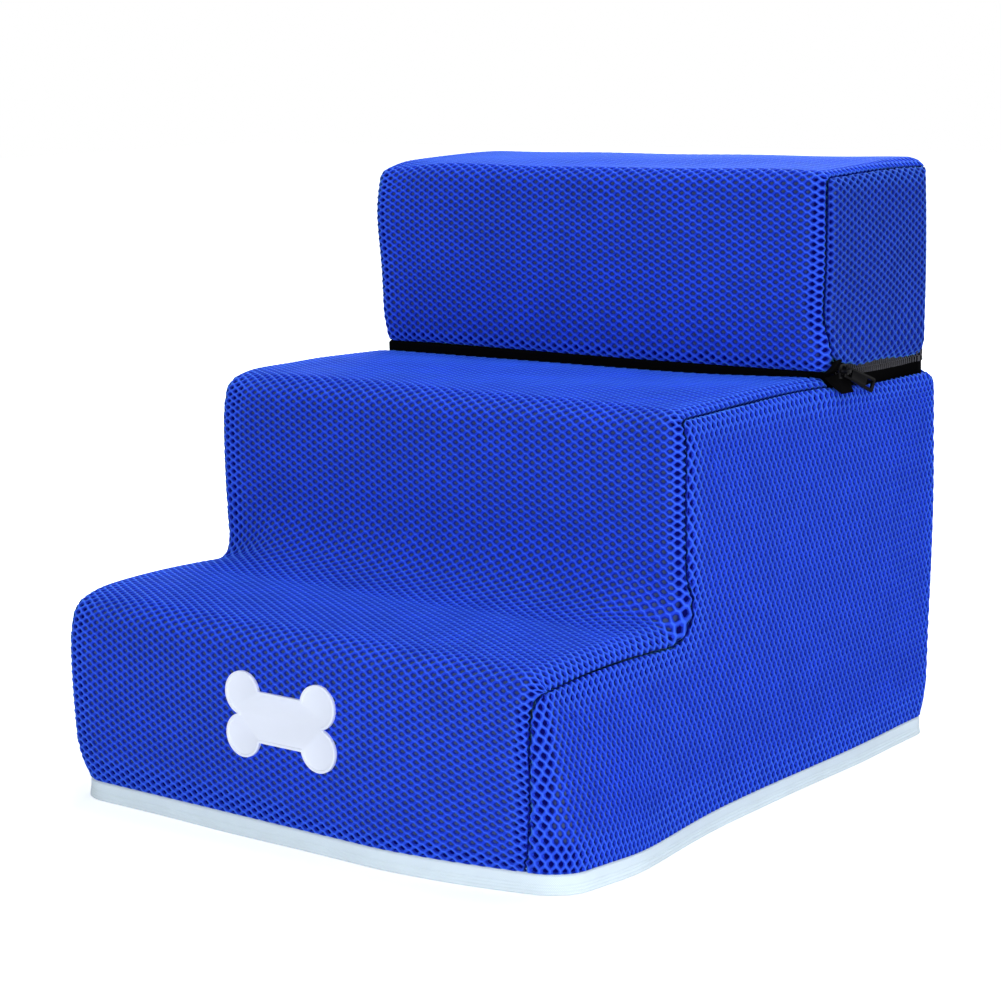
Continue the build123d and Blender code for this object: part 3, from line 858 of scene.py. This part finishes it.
def wrap_strip(flat, line, block):
    """Lays flat cloth over a block: the first coordinate goes across, the second along the side line."""
    across, run, height = flat.T
    right, reach = across > 0, np.abs(across)
    side = np.where(right, 1.0, -1.0)
    turn = block.hem_radius
    low_on, low_in, low_turn = folded(turn - run, turn)
    high_on, high_in, high_turn = folded(run - (line.length - turn), turn)
    run_on = np.where(run < line.length / 2, turn - low_on, line.length - turn + high_on)
    place, along, _ = line.at(run_on, np.zeros(len(run)))
    radius = block.edge_radius(right, *place.T)
    flat_reach = half_width - radius
    seam_reach = flat_reach + radius * seam_angle - block.seam_shift(right, *place.T) + wandering(*place.T)
    reach = seam_reach - stretched(seam_reach - reach, block.stretch)
    place, along, normal = line.at(run_on, ramp(seam_reach - reach, 0, soft_reach))
    side_on, side_in, side_turn = folded(reach - (seam_reach - fold_radius))
    onward = seam_reach - fold_radius + side_on
    angle = np.clip((onward - flat_reach) / radius, 0, None)
    x = np.minimum(onward, flat_reach) + radius * np.sin(angle)
    drop = radius * (1 - np.cos(angle))
    ends = np.minimum(run, line.length - run)
    edge = np.minimum(seam_reach - reach, ends)
    inward = low_in + high_in + side_in - ripple(across, run) * ramp(edge, 0, ripple_reach)
    face_normal = np.column_stack((side * np.sin(angle), np.cos(angle)[:, None] * normal))
    across_way = np.column_stack((side * np.cos(angle), -np.sin(angle)[:, None] * normal))
    along_way = np.column_stack((np.zeros(len(run)), along))
    out = face_normal * (np.cos(side_turn) * np.cos(low_turn) * np.cos(high_turn))[:, None]
    out += across_way * np.sin(side_turn)[:, None]
    out += along_way * (np.sin(high_turn) - np.sin(low_turn))[:, None]
    out /= np.linalg.norm(out, axis=1)[:, None]
    base = np.column_stack((side * x, place - drop[:, None] * normal))
    places = block.settle(base - inward[:, None] * face_normal + height[:, None] * out)
    return places, edge, {"seam": seam_reach - reach, "start": run, "right": right, "y": place[:, 0],
                          "z": place[:, 1]}


def wrap_side(flat, line, block, right, foot):
    """Lays flat cloth over a block's side: the coordinates go back and up."""
    plan, height = flat[:, :2], flat[:, 2]
    on_right = np.full(len(plan), right)
    point, inward_way, depth = line.nearest(plan)
    radius = block.edge_radius(on_right, *point.T)
    limit = radius * (1 - seam_angle) - block.seam_shift(on_right, *point.T) + wandering(*point.T)
    to_seam = depth - limit
    pulled = stretched(to_seam, side_stretch(*point.T) if foot else 0.0)
    plan = plan + inward_way * (pulled - to_seam)[:, None]
    depth, to_seam = depth + pulled - to_seam, pulled
    seam_on, seam_in, seam_turn = folded(fold_radius - to_seam)
    to_edge = radius - (limit + fold_radius - seam_on)
    angle = np.clip(to_edge / radius, 0, math.pi / 2)
    beyond = np.maximum(to_edge - radius * math.pi / 2, 0)
    curved = to_edge > 0
    new_depth = np.where(curved, radius * (1 - np.sin(angle)), depth)
    moved = np.where(curved[:, None], point + inward_way * new_depth[:, None], plan)
    drop = radius * (1 - np.cos(angle)) + beyond
    edge, tuck, foot_turn = to_seam.copy(), np.zeros(len(plan)), np.zeros(len(plan))
    swell = side_bow * ramp(depth - radius, 0, 75 * mm)
    if foot:
        foot_on, tuck, foot_turn = folded(mesh_foot + fold_radius - plan[:, 1])
        low = plan[:, 1] < mesh_foot + fold_radius
        moved[:, 1] = np.where(low, mesh_foot + fold_radius - foot_on, moved[:, 1])
        edge = np.minimum(edge, plan[:, 1] - mesh_foot)
        swell *= 0.35 + 0.65 * ramp(plan[:, 1], mesh_foot, 80 * mm)
    swell += ripple(plan[:, 0], plan[:, 1]) * ramp(edge, 0, ripple_reach)
    face_normal = np.column_stack((np.cos(angle), -np.sin(angle)[:, None] * inward_way))
    seam_way = np.column_stack((-np.sin(angle), -np.cos(angle)[:, None] * inward_way))
    out = face_normal * (np.cos(seam_turn) * np.cos(foot_turn))[:, None]
    out += seam_way * np.sin(seam_turn)[:, None]
    out[:, 2] -= np.sin(foot_turn)
    out /= np.linalg.norm(out, axis=1)[:, None]
    base = np.column_stack((half_width - drop + swell, moved)) - (seam_in + tuck)[:, None] * face_normal
    shaped = base + height[:, None] * out
    if not right:
        shaped[:, 0] *= -1
    return block.settle(shaped), edge, {"seam": to_seam, "start": plan[:, 1] - mesh_foot, "y": point[:, 0],
                                        "z": point[:, 1]}


def make_cover(name, low, high, pitches, yarn, wrap, dark_widths, block, nodes, flipped=False):
    """One panel of mesh cloth: cut flat, trimmed to its seams, and laid over its block."""
    cloth = flat_mesh_cloth(name, low, high, pitches, yarn)
    _, edge, _ = wrap(coordinates(cloth))
    trim(cloth, edge < -flange)
    places, edge, found = wrap(coordinates(cloth))
    set_coordinates(cloth, places)
    # How far in from the seams and hems the painted shade in the holes and the painted highlight on the
    # strands reach
    keep_values(cloth, "edge", dark_widths(found))
    keep_values(cloth, "seam", edge)
    if flipped:
        cloth.data.flip_normals()
    finish_piece(cloth, None, block.body, nodes)


def strip_cover(name, line, block, nodes, dark_widths):
    """A strip of mesh cloth over a block's front, top or back, from seam to seam."""
    reach = half_width + flange
    make_cover(name, (-reach, -flange), (reach, line.length + flange), strip_pitches, mesh_yarn,
               lambda flat: wrap_strip(flat, line, block), dark_widths, block, nodes)


def side_cover(name, line, block, right, pitches, nodes, dark_widths, foot):
    """A side panel of mesh cloth, seamed all along the side view."""
    drift = seam_drift + flange if foot else flange
    low = (line.tight[:, 0].min() - drift, (mesh_foot if foot else line.tight[:, 1].min()) - flange)
    high = (line.tight[:, 0].max() + flange, line.tight[:, 1].max() + flange)
    # The top block's sides take the darker copy of the yarn, as painted shade
    yarn = mesh_yarn if foot else mesh_yarn_painted_shade
    make_cover(name, low, high, pitches, yarn, lambda flat: wrap_side(flat, line, block, right, foot),
               dark_widths, block, nodes, flipped=not right)


# Widths beside seams and hems, where nothing lies close behind the cloth: there the holes get painted shade
# and the strands a painted highlight
def front_dark(found):
    """The base's front strip: wider at the left seam, and along the treads."""
    y, z = found["y"], found["z"]
    upright = (z < step_1_z - 6 * mm) | (y > riser_2_y - 8 * mm) & (z < deck_z - 6 * mm)
    at_seam = np.where(found["right"], np.where(upright, 8.5 * mm, 12 * mm), 15 * mm)
    at_hem = np.where(found["right"], 8 * mm, 14 * mm)
    return np.minimum(found["seam"] / at_seam, found["start"] / at_hem)


def back_dark(found):
    """The base's back strip."""
    return np.minimum(found["seam"] / (8 * mm), found["start"] / (12 * mm))


def base_side_dark(found):
    """The base's side panels: widest behind the first riser and over the hem."""
    y, z = found["y"], found["z"]
    riser = (y < front_y + 12 * mm) & (z < step_1_z - 8 * mm)
    upright = (y > back_y - 30 * mm) | (z > step_1_z + 15 * mm) & (y < riser_2_y + 8 * mm)
    at_seam = np.where(riser, 13 * mm, np.where(upright, 10 * mm, 12 * mm))
    return np.minimum(found["seam"] / at_seam, found["start"] / (17 * mm))


def top_strip_dark(found):
    """The top's strip: wider beside the front seams."""
    at_seam = np.where(found["y"] < top_front_y + 6 * mm, 11 * mm, 5 * mm)
    return np.minimum(found["seam"] / at_seam, found["start"] / (7 * mm))


def top_side_dark(found):
    """The top's side panels: wider along the top and the rear."""
    top_edge = (found["z"] > top_z - 8 * mm) & (found["y"] > top_front_y + 15 * mm)
    rear = found["y"] > back_y - 12 * mm
    return found["seam"] / np.where(top_edge | rear, 9 * mm, 5 * mm)


sides = (("right", True), ("left", False))
strip_cover("base_front_mesh", base_front_line, base_block, ["base_front_cover"], front_dark)
strip_cover("base_back_mesh", base_back_line, base_block, ["base_back_cover"], back_dark)
for side, on_right in sides:
    side_cover(f"base_{side}_mesh", base_side_line, base_block, on_right, base_side_pitches,
               [f"base_{side}_cover"], base_side_dark, True)
strip_cover("top_strip_mesh", top_strip_line, top_block, ["top_strip_cover"], top_strip_dark)
for side, on_right in sides:
    side_cover(f"top_{side}_mesh", top_side_line, top_block, on_right, top_side_pitches,
               [f"top_{side}_cover"], top_side_dark, False)


# Foam and lining inside the covers
def stuffing(name, line, block, floor, inset, core):
    """A closed soft body that fills a block's covers, rounded as they are, its ends drawn to the core."""
    stations, around, end_radius, cap_share = 44, 240, 14 * mm, 0.14
    end = half_width - inset
    runs = np.linspace(0, line.length, around)
    body, column, row = flat_grid(name, around - 1, stations)
    share = row / stations * 2 - 1
    x = end * np.sin(np.clip(share / (1 - cap_share), -1, 1) * math.pi / 2)
    cap = np.clip((np.abs(share) - 1 + cap_share) / cap_share, 0, 1)[:, None]
    over = np.clip((np.abs(x) - (end - end_radius)) / end_radius, 0, 1)
    depth = inset + end_radius * (1 - np.sqrt(1 - over ** 2))
    softness = 0.9 * ramp(half_width - np.abs(x) - 6 * mm, 0, soft_reach)
    place, _, normal = line.at(runs[column], softness)
    inner = place - depth[:, None] * normal
    inner[:, 1] = np.maximum(inner[:, 1], floor + 0.2 * depth)
    inner = inner * (1 - cap) + np.array(core) * cap
    set_coordinates(body, block.settle(np.column_stack((x, inner))))
    edit_all(body, "FACE", lambda: bpy.ops.mesh.remove_doubles(threshold=0.05 * mm),
             lambda: bpy.ops.mesh.normals_make_consistent(inside=False))
    keep_map(body, coordinates(body)[:, :2])
    return body


def add_stuffing(name, line, block, floor, core, foam_nodes, lining_nodes):
    """A block's foam, and the grey lining bag just outside it."""
    for part, deeper, material, nodes, slot in (
            ("foam", lining_gap, cream_foam, foam_nodes, "foam_cream"),
            ("lining_bag", 0, grey_cloth, lining_nodes, "lining_grey")):
        piece = stuffing(f"{name}_{part}", line, block, floor + deeper, lining_depth + deeper, core)
        finish_piece(piece, material, block.body, nodes, 40)


lining_depth, lining_gap = 5.6 * mm, 0.6 * mm
inside_foot_z, inside_foot_radius = 1.5 * mm, 12 * mm
base_inside = RoundedLine(
    [(0, inside_foot_z), (front_y, inside_foot_z), *steps, (back_y, deck_z - 1.5 * mm),
     (back_y, inside_foot_z), (0, inside_foot_z)],
    [inside_foot_radius, *steps_tight, deck_bend, rear_radius, inside_foot_radius],
    [inside_foot_radius, *steps_soft, deck_bend, rear_radius, inside_foot_radius],
    [0, riser_bow, tread_crown, riser_bow, 0, 0, back_bow, 0], True)
add_stuffing("base", base_inside, base_block, 1.4 * mm, (90 * mm, 60 * mm),
             ["lower_foam_slab", "upper_foam_slab", "tread_1_pad", "tread_2_pad"], ["base_lining"])
add_stuffing("top", top_side_line, top_block, top_low_z + 4.8 * mm, (top_middle_y, top_low_z + 60 * mm),
             ["top_foam_slab", "top_pad"], ["top_lining"])


# Cloth between the blocks
def cloth_slab(name, low, high, corner_radius):
    """A thin padded slab of cloth with rounded corners and soft edges."""
    slab = new_cube(name)
    size = np.subtract(high, low)
    set_coordinates(slab, coordinates(slab) * size + np.add(low, high) / 2)
    start_edit(slab, "EDGE")
    ends = read_all(slab.data.edges, "vertices", int, 2)
    places = coordinates(slab)
    upright = np.abs(places[ends[:, 0], 2] - places[ends[:, 1], 2]) > size[2] / 2
    mark(slab.data.edges, upright)
    run_in_edit(
        lambda: bpy.ops.mesh.bevel(offset=corner_radius, segments=6, affect="EDGES"),
        lambda: bpy.ops.mesh.select_all(action="SELECT"),
    )
    apply_modifier(slab, "BEVEL", width=size[2] * 0.35, segments=3, limit_method="ANGLE",
                   angle_limit=math.radians(50))
    keep_map(slab, coordinates(slab)[:, :2])
    return slab


pad_side, pad_corner, pad_rear_y = 168.2 * mm, 24 * mm, zip_back_y - 0.2 * mm
for name, gap, low_z, high_z, body, node in (
        ("base_deck_pad", 1.4 * mm, deck_z - 5.6 * mm, deck_z - 0.6 * mm, "base", "base_deck_cover"),
        ("top_underside_pad", 3.4 * mm, top_low_z + 0.1 * mm, top_low_z + 5.4 * mm, "top_block",
         "top_bottom_cover")):
    pad = cloth_slab(name, (-pad_side, top_front_y + gap, low_z), (pad_side, pad_rear_y, high_z), pad_corner)
    finish_piece(pad, grey_cloth, body, [node], 40)


def upright_strip(name, line, low_z, high_z, columns, rows, bulge, thickness, material, body, nodes,
                  settle=None, smooth_angle=50):
    """A strip of tape that stands along a line seen from above; the line's outward side is its face."""
    strip, column, row = flat_grid(name, columns, rows)
    run, share = column / columns * line.length, row / rows
    place, _, normal = line.at(run, np.zeros(len(run)))
    z = low_z(run) + (high_z(run) - low_z(run)) * share
    places = np.column_stack((place + bulge(run, share, z)[:, None] * normal, z))
    set_coordinates(strip, settle(places) if settle else places)
    keep_map(strip, np.column_stack((run, z)))
    middle = strip.data.polygons[len(strip.data.polygons) // 2]
    if np.array(middle.normal)[:2] @ normal[middle.vertices[0]] < 0:
        strip.data.flip_normals()
    edit_all(strip, "FACE", lambda: bpy.ops.mesh.remove_doubles(threshold=0.02 * mm))
    apply_modifier(strip, "SOLIDIFY", thickness=thickness, offset=-1.0)
    return finish_piece(strip, material, body, nodes, smooth_angle)


def level(z):
    """The same height all along a strip."""
    return lambda run: np.full(len(run), z)


def flat_face(run, share, z):
    """A strip with no bulge."""
    return np.zeros(len(run))


def hinge_bulge(run, share, z):
    """The hinge cloth stands forward a little, and steps in behind the top block's lower edge."""
    return 0.5 * mm * np.sin(share * math.pi) - 3.5 * mm * ramp(share, 0.60, 0.70)


hinge_right, hinge_left, hinge_y = 161 * mm, -163 * mm, top_front_y + 0.4 * mm
hinge_line = RoundedLine([(hinge_right, hinge_y), (hinge_left, hinge_y)], [], [], [0], True)
hinge = upright_strip("hinge_cloth", hinge_line, level(deck_z - 7 * mm), level(top_low_z + 4 * mm), 160, 22,
                      hinge_bulge, 0.5 * mm, black_cloth, None, ["lower_hinge_leaf", "upper_hinge_leaf"])
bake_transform(hinge)

# The zip: tapes, coils, tails and slider
zip_rear_x, zip_rear_y = zip_half_width + 4.4 * mm, zip_back_y + 1.8 * mm
zip_front_x, zip_front_y, zip_turn_y = 158 * mm, top_front_y + 3.0 * mm, top_front_y + 13 * mm
zip_left_in, zip_rear_left_in = 3.5 * mm, 3 * mm
slider_end_y = 186 * mm
zip_radii = [8 * mm, 40 * mm, 7 * mm, 7 * mm, 8 * mm]
zip_line = RoundedLine(
    [(zip_front_x, zip_front_y), (zip_half_width, zip_turn_y), (zip_half_width, slider_end_y),
     (zip_rear_x, zip_rear_y), (zip_rear_left_in - zip_rear_x, zip_rear_y),
     (zip_left_in - zip_half_width, zip_turn_y), (-zip_front_x, zip_front_y)],
    zip_radii, zip_radii, [0] * 6, False)
tape_thickness, tape_seam = 0.7 * mm, 0.1 * mm
zip_slack = 1.4 * mm
tooth_pitch, tooth_length, tooth_height, tooth_depth = 2.4 * mm, 0.9 * mm, 3.7 * mm, 0.9 * mm


def hanging(z):
    """The zip's own height, a little slack between the slider and the rear corner."""
    return lambda run: z - zip_slack * hump(run, 86 * mm, 42 * mm)


for name, low_z, high_z, body, tape in (
        ("lower_zip_webbing", zip_low_z - 4 * mm, seat_z - tape_seam, "base", "lower_zip_tape"),
        ("upper_zip_webbing", seat_z + tape_seam, zip_high_z - 0.5 * mm, "top_block", "upper_zip_tape")):
    upright_strip(name, zip_line, hanging(low_z), hanging(high_z), 420, 8, flat_face, tape_thickness,
                  black_cloth, body, [tape])


def zip_tooth():
    """One turn of the coil as a rounded, slightly slanted tooth, pointing up from its tape."""
    slant, tip_step, edge_round = 0.16, 0.5 * mm, 0.25 * mm
    tooth = new_cube("zip_tooth")
    places = coordinates(tooth) * (tooth_length, tooth_depth, tooth_height) + (0, tooth_depth / 2, 0)
    places[:, 0] += places[:, 2] * slant
    places[:, 1] -= np.where((places[:, 2] > 0) & (places[:, 1] > tooth_depth / 2), tip_step, 0)
    set_coordinates(tooth, places)
    edit_all(tooth, "EDGE", lambda: bpy.ops.mesh.bevel(offset=edge_round, segments=1, affect="EDGES"))
    return tooth


def zip_coil(name, middle_z, up, first_run, last_run, body, nodes):
    """A row of teeth along one of the tapes."""
    tooth = zip_tooth()
    runs = np.arange(first_run, last_run, tooth_pitch)
    place, along, normal = zip_line.at(runs, np.zeros(len(runs)))
    teeth = [tooth]
    for _ in runs[1:]:
        copy = tooth.copy()
        copy.data = tooth.data.copy()
        bpy.context.collection.objects.link(copy)
        teeth.append(copy)
    shape = coordinates(tooth)
    heights = hanging(middle_z)(runs)
    for piece, (x, y), way, outward, z in zip(teeth, place, along, normal, heights):
        moved = shape[:, :1] * np.array([*way, 0]) + shape[:, 1:2] * np.array([*outward, 0])
        moved[:, 2] += shape[:, 2] * up
        set_coordinates(piece, moved + (x, y, z))
    bpy.ops.object.select_all(action="DESELECT")
    for piece in teeth:
        piece.select_set(True)
    bpy.context.view_layer.objects.active = tooth
    bpy.ops.object.join()
    row = bpy.context.object
    row.name = row.data.name = name
    edit_all(row, "FACE", lambda: bpy.ops.mesh.normals_make_consistent(inside=False))
    finish_piece(row, black_nylon, body, nodes, 35)


coil_start, coil_overlap = zip_start_y - top_front_y + 3 * mm, 0.25 * mm
coil_end = zip_line.length - coil_start
row_gap = tooth_height / 2 - coil_overlap
zip_coil("lower_coil_teeth", seat_z - row_gap, 1, coil_start, coil_end, "base", ["lower_zip_coil"])
zip_coil("upper_coil_teeth", seat_z + row_gap, -1, coil_start + tooth_pitch / 2, coil_end, "top_block",
         ["upper_zip_coil"])


def softened_copy(node, name, width, material, body):
    """A CAD part's own shape with its sharp edges softened."""
    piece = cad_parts[node].copy()
    piece.data = piece.data.copy()
    piece.name = piece.data.name = name
    bpy.context.collection.objects.link(piece)
    edit_all(piece, "FACE", lambda: bpy.ops.mesh.remove_doubles(threshold=0.002 * mm),
             lambda: bpy.ops.mesh.dissolve_limited(angle_limit=math.radians(1)))
    apply_modifier(piece, "BEVEL", width=width, segments=2, limit_method="ANGLE",
                   angle_limit=math.radians(35))
    apply_modifier(piece, "TRIANGULATE")
    finish_piece(piece, material, body, [node], 40)


def tape_tail(name, corners, low_x, high_x, body):
    """A loose end of zip tape, laid over the cover; the corners are (y, z), from low front, turning."""
    columns, rows, bulge, curl = 14, 8, 0.5 * mm, 0.35 * mm
    tail, column, row = flat_grid(name, columns, rows)
    along, up = column / columns, row / rows
    u, v = along[:, None], up[:, None]
    first, second, third, fourth = (np.array(corner) * mm for corner in corners)
    flat = (first * (1 - u) + second * u) * (1 - v) + (fourth * (1 - u) + third * u) * v
    x = low_x * (1 - up) + high_x * up + bulge * np.sin(up * math.pi) * np.sign(high_x - low_x)
    x = x + curl * np.sin(along * 7)
    set_coordinates(tail, np.column_stack((x, flat)))
    keep_map(tail, flat)
    apply_modifier(tail, "SOLIDIFY", thickness=tape_thickness, offset=1.0)
    finish_piece(tail, black_cloth, body, smooth_angle=50)


tape_tail("lower_tape_tail", [(90, 229.5), (103, 229.0), (107, 240.6), (80.5, 239.6)],
          176.6 * mm, 170.6 * mm, "base")
tape_tail("upper_tape_tail", [(81, 242.8), (94, 242.8), (91, 250.0), (83, 249.5)],
          170.6 * mm, 175.8 * mm, "top_block")
softened_copy("slider", "zip_slider", 0.25 * mm, black_metal, "slider")
softened_copy("pull_tab", "zip_pull", 0.25 * mm, black_metal, "pull_tab")
softened_copy("bone_badge", "bone_patch", 0.45 * mm, white_patch, "base")
for node in ("lower_end_stop", "left_end_stop", "upper_end_stop"):
    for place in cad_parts[node].material_slots:
        place.material = black_metal


# Hem band and bottom
def hem_outline(inset):
    """The base's footprint at the hem, seen from above, as places and outward ways."""
    width, depth = half_width - inset, back_y - inset
    corners = [(0, depth), (-width, depth), (-width, -depth), (width, -depth), (width, depth), (0, depth)]
    radii = [17 * mm - inset, 23 * mm - inset, 18 * mm - inset, 17 * mm - inset]
    return RoundedLine(corners, radii, radii, [0] * 5, False)


def hem_lower_edge(run):
    """The hem's lower edge waves a little over the floor."""
    return 0.5 * mm * (0.5 + 0.3 * np.sin(run * 33 + 1) + 0.2 * np.sin(run * 71))


def hem_bulge(run, share, z):
    """Three sewn lines, a fuller lower part, and an upper edge drawn in under the mesh."""
    out = 0.8 * mm * ramp(share, 0.55, 0.0) - 3.0 * mm * ramp(z, mesh_foot - 0.8 * mm, hem_top)
    for sewn_line in (0.12, 0.25, 0.38):
        out -= 0.5 * mm * hump(share, sewn_line, 0.03)
    return out + 0.25 * mm * np.sin(run * 47) * ramp(share, 0.7, 0.0)


def add_bottom():
    """The bottom cloth, cut to the footprint."""
    inset, corner = 3.2 * mm, 20 * mm
    columns, rows = 84, 96
    bottom, column, row = flat_grid("bottom_sheet", columns, rows)
    width, depth = half_width - inset, back_y - inset
    u, v = column / columns * 2 - 1, row / rows * 2 - 1
    reach = np.maximum(np.abs(v) * depth - (depth - corner), 0)
    narrow = corner - np.sqrt(corner ** 2 - reach ** 2)
    z = 0.5 * mm + 0.15 * mm * np.sin(u * 23) * np.sin(v * 19)
    set_coordinates(bottom, settle_base(np.column_stack((u * (width - narrow), v * depth, z))))
    keep_map(bottom, np.column_stack((u * width, v * depth)))
    bottom.data.flip_normals()
    finish_piece(bottom, grey_cloth, "base", ["bottom_cloth"])


upright_strip("hem_webbing", hem_outline(0.5 * mm), hem_lower_edge, level(hem_top), 420, 26, hem_bulge,
              2.0 * mm, white_webbing, "base", ["hem_band"], settle_base, None)
add_bottom()


# Camera, floor and light
def set_facing(thing, place, right, up, forward):
    """Puts a camera or a lamp in its place, facing forward."""
    turned = Matrix([(right[axis], up[axis], -forward[axis]) for axis in range(3)]).to_4x4()
    thing.matrix_world = Matrix.Translation(place) @ turned
    bpy.context.collection.objects.link(thing)


def add_camera():
    """The camera at the photograph's place and angle."""
    yaw, pitch, roll = (math.radians(angle) for angle in (38.49, -10.51, -1.2))
    forward = np.array([-math.sin(yaw) * math.cos(pitch), math.cos(yaw) * math.cos(pitch), math.sin(pitch)])
    level_right = np.array([math.cos(yaw), math.sin(yaw), 0])
    level_up = np.cross(level_right, forward)
    right = math.cos(roll) * level_right + math.sin(roll) * level_up
    up = math.cos(roll) * level_up - math.sin(roll) * level_right
    data = bpy.data.cameras.new("camera")
    data.sensor_width = 36
    data.lens = 89.44
    camera = bpy.data.objects.new("camera", data)
    set_facing(camera, (0.91529, -1.16086, 0.43749), right, up, forward)
    bpy.context.scene.camera = camera


def add_floor():
    """A wide white floor that keeps the stairs' shadow."""
    bpy.ops.object.select_all(action="DESELECT")
    bpy.ops.mesh.primitive_plane_add(size=14, location=(0, 0, -0.0002))
    floor = bpy.context.object
    floor.name = "floor"
    material = bpy.data.materials.new("floor")
    material.use_nodes = True
    tree = material.node_tree
    tree.nodes.clear()
    away = new_node(tree, "VectorMath", {0: object_place(tree)}, operation="LENGTH")
    far = soft_ramp(tree, away.outputs["Value"], 0.32, 0.62)
    seen = new_node(tree, "LightPath", {}).outputs["Is Camera Ray"]
    # Painted light for the camera only: the floor glows, weaker near the stairs so their shadow shows, and
    # stronger far off where the lamps no longer reach
    strength = times(tree, seen, plus(tree, times(tree, far, 0.5), 0.62))
    matt = new_node(tree, "BsdfDiffuse", {"Color": (0.80, 0.82, 0.86, 1)})
    glow = new_node(tree, "Emission", {"Color": (0.90, 0.95, 1.0, 1), "Strength": strength})
    both = new_node(tree, "AddShader", {0: matt.outputs[0], 1: glow.outputs[0]})
    new_node(tree, "OutputMaterial", {"Surface": both.outputs[0]})
    floor.data.materials.append(material)


def add_world():
    """An even pale surround that shows as white."""
    world = bpy.data.worlds.new("studio")
    bpy.context.scene.world = world
    world.use_nodes = True
    tree = world.node_tree
    sky = tree.nodes["Background"]
    sky.inputs["Color"].default_value = (1, 1, 1, 1)
    rays = new_node(tree, "LightPath", {}).outputs
    seen = maths(tree, "MAXIMUM", rays["Is Camera Ray"], rays["Is Glossy Ray"])
    seen = maths(tree, "MAXIMUM", seen, rays["Is Transmission Ray"])
    link_all(tree, sky, Strength=plus(tree, times(tree, seen, 0.68), 0.32))


def add_lamp(name, place, size, power):
    """A soft square lamp that faces the stairs."""
    data = bpy.data.lights.new(name, "AREA")
    data.energy, data.size = power, size
    lamp = bpy.data.objects.new(name, data)
    lamp.visible_camera = False
    aim = np.array([0, 0, 0.18]) - np.array(place)
    aim /= np.linalg.norm(aim)
    side = np.cross(aim, [0, 0, 1])
    side /= np.linalg.norm(side)
    set_facing(lamp, place, side, np.cross(side, aim), aim)


add_camera()
add_floor()
add_world()
add_lamp("lamp_front", (0.55, -1.35, 0.25), 0.7, 9.5)
add_lamp("lamp_above", (0.15, 0.1, 1.35), 0.8, 11)
add_lamp("lamp_right", (1.5, -0.25, 0.15), 0.8, 9.0)
add_lamp("lamp_behind", (-0.9, 2.2, 1.1), 1.2, 24)

bpy.context.scene.view_settings.view_transform = "Standard"
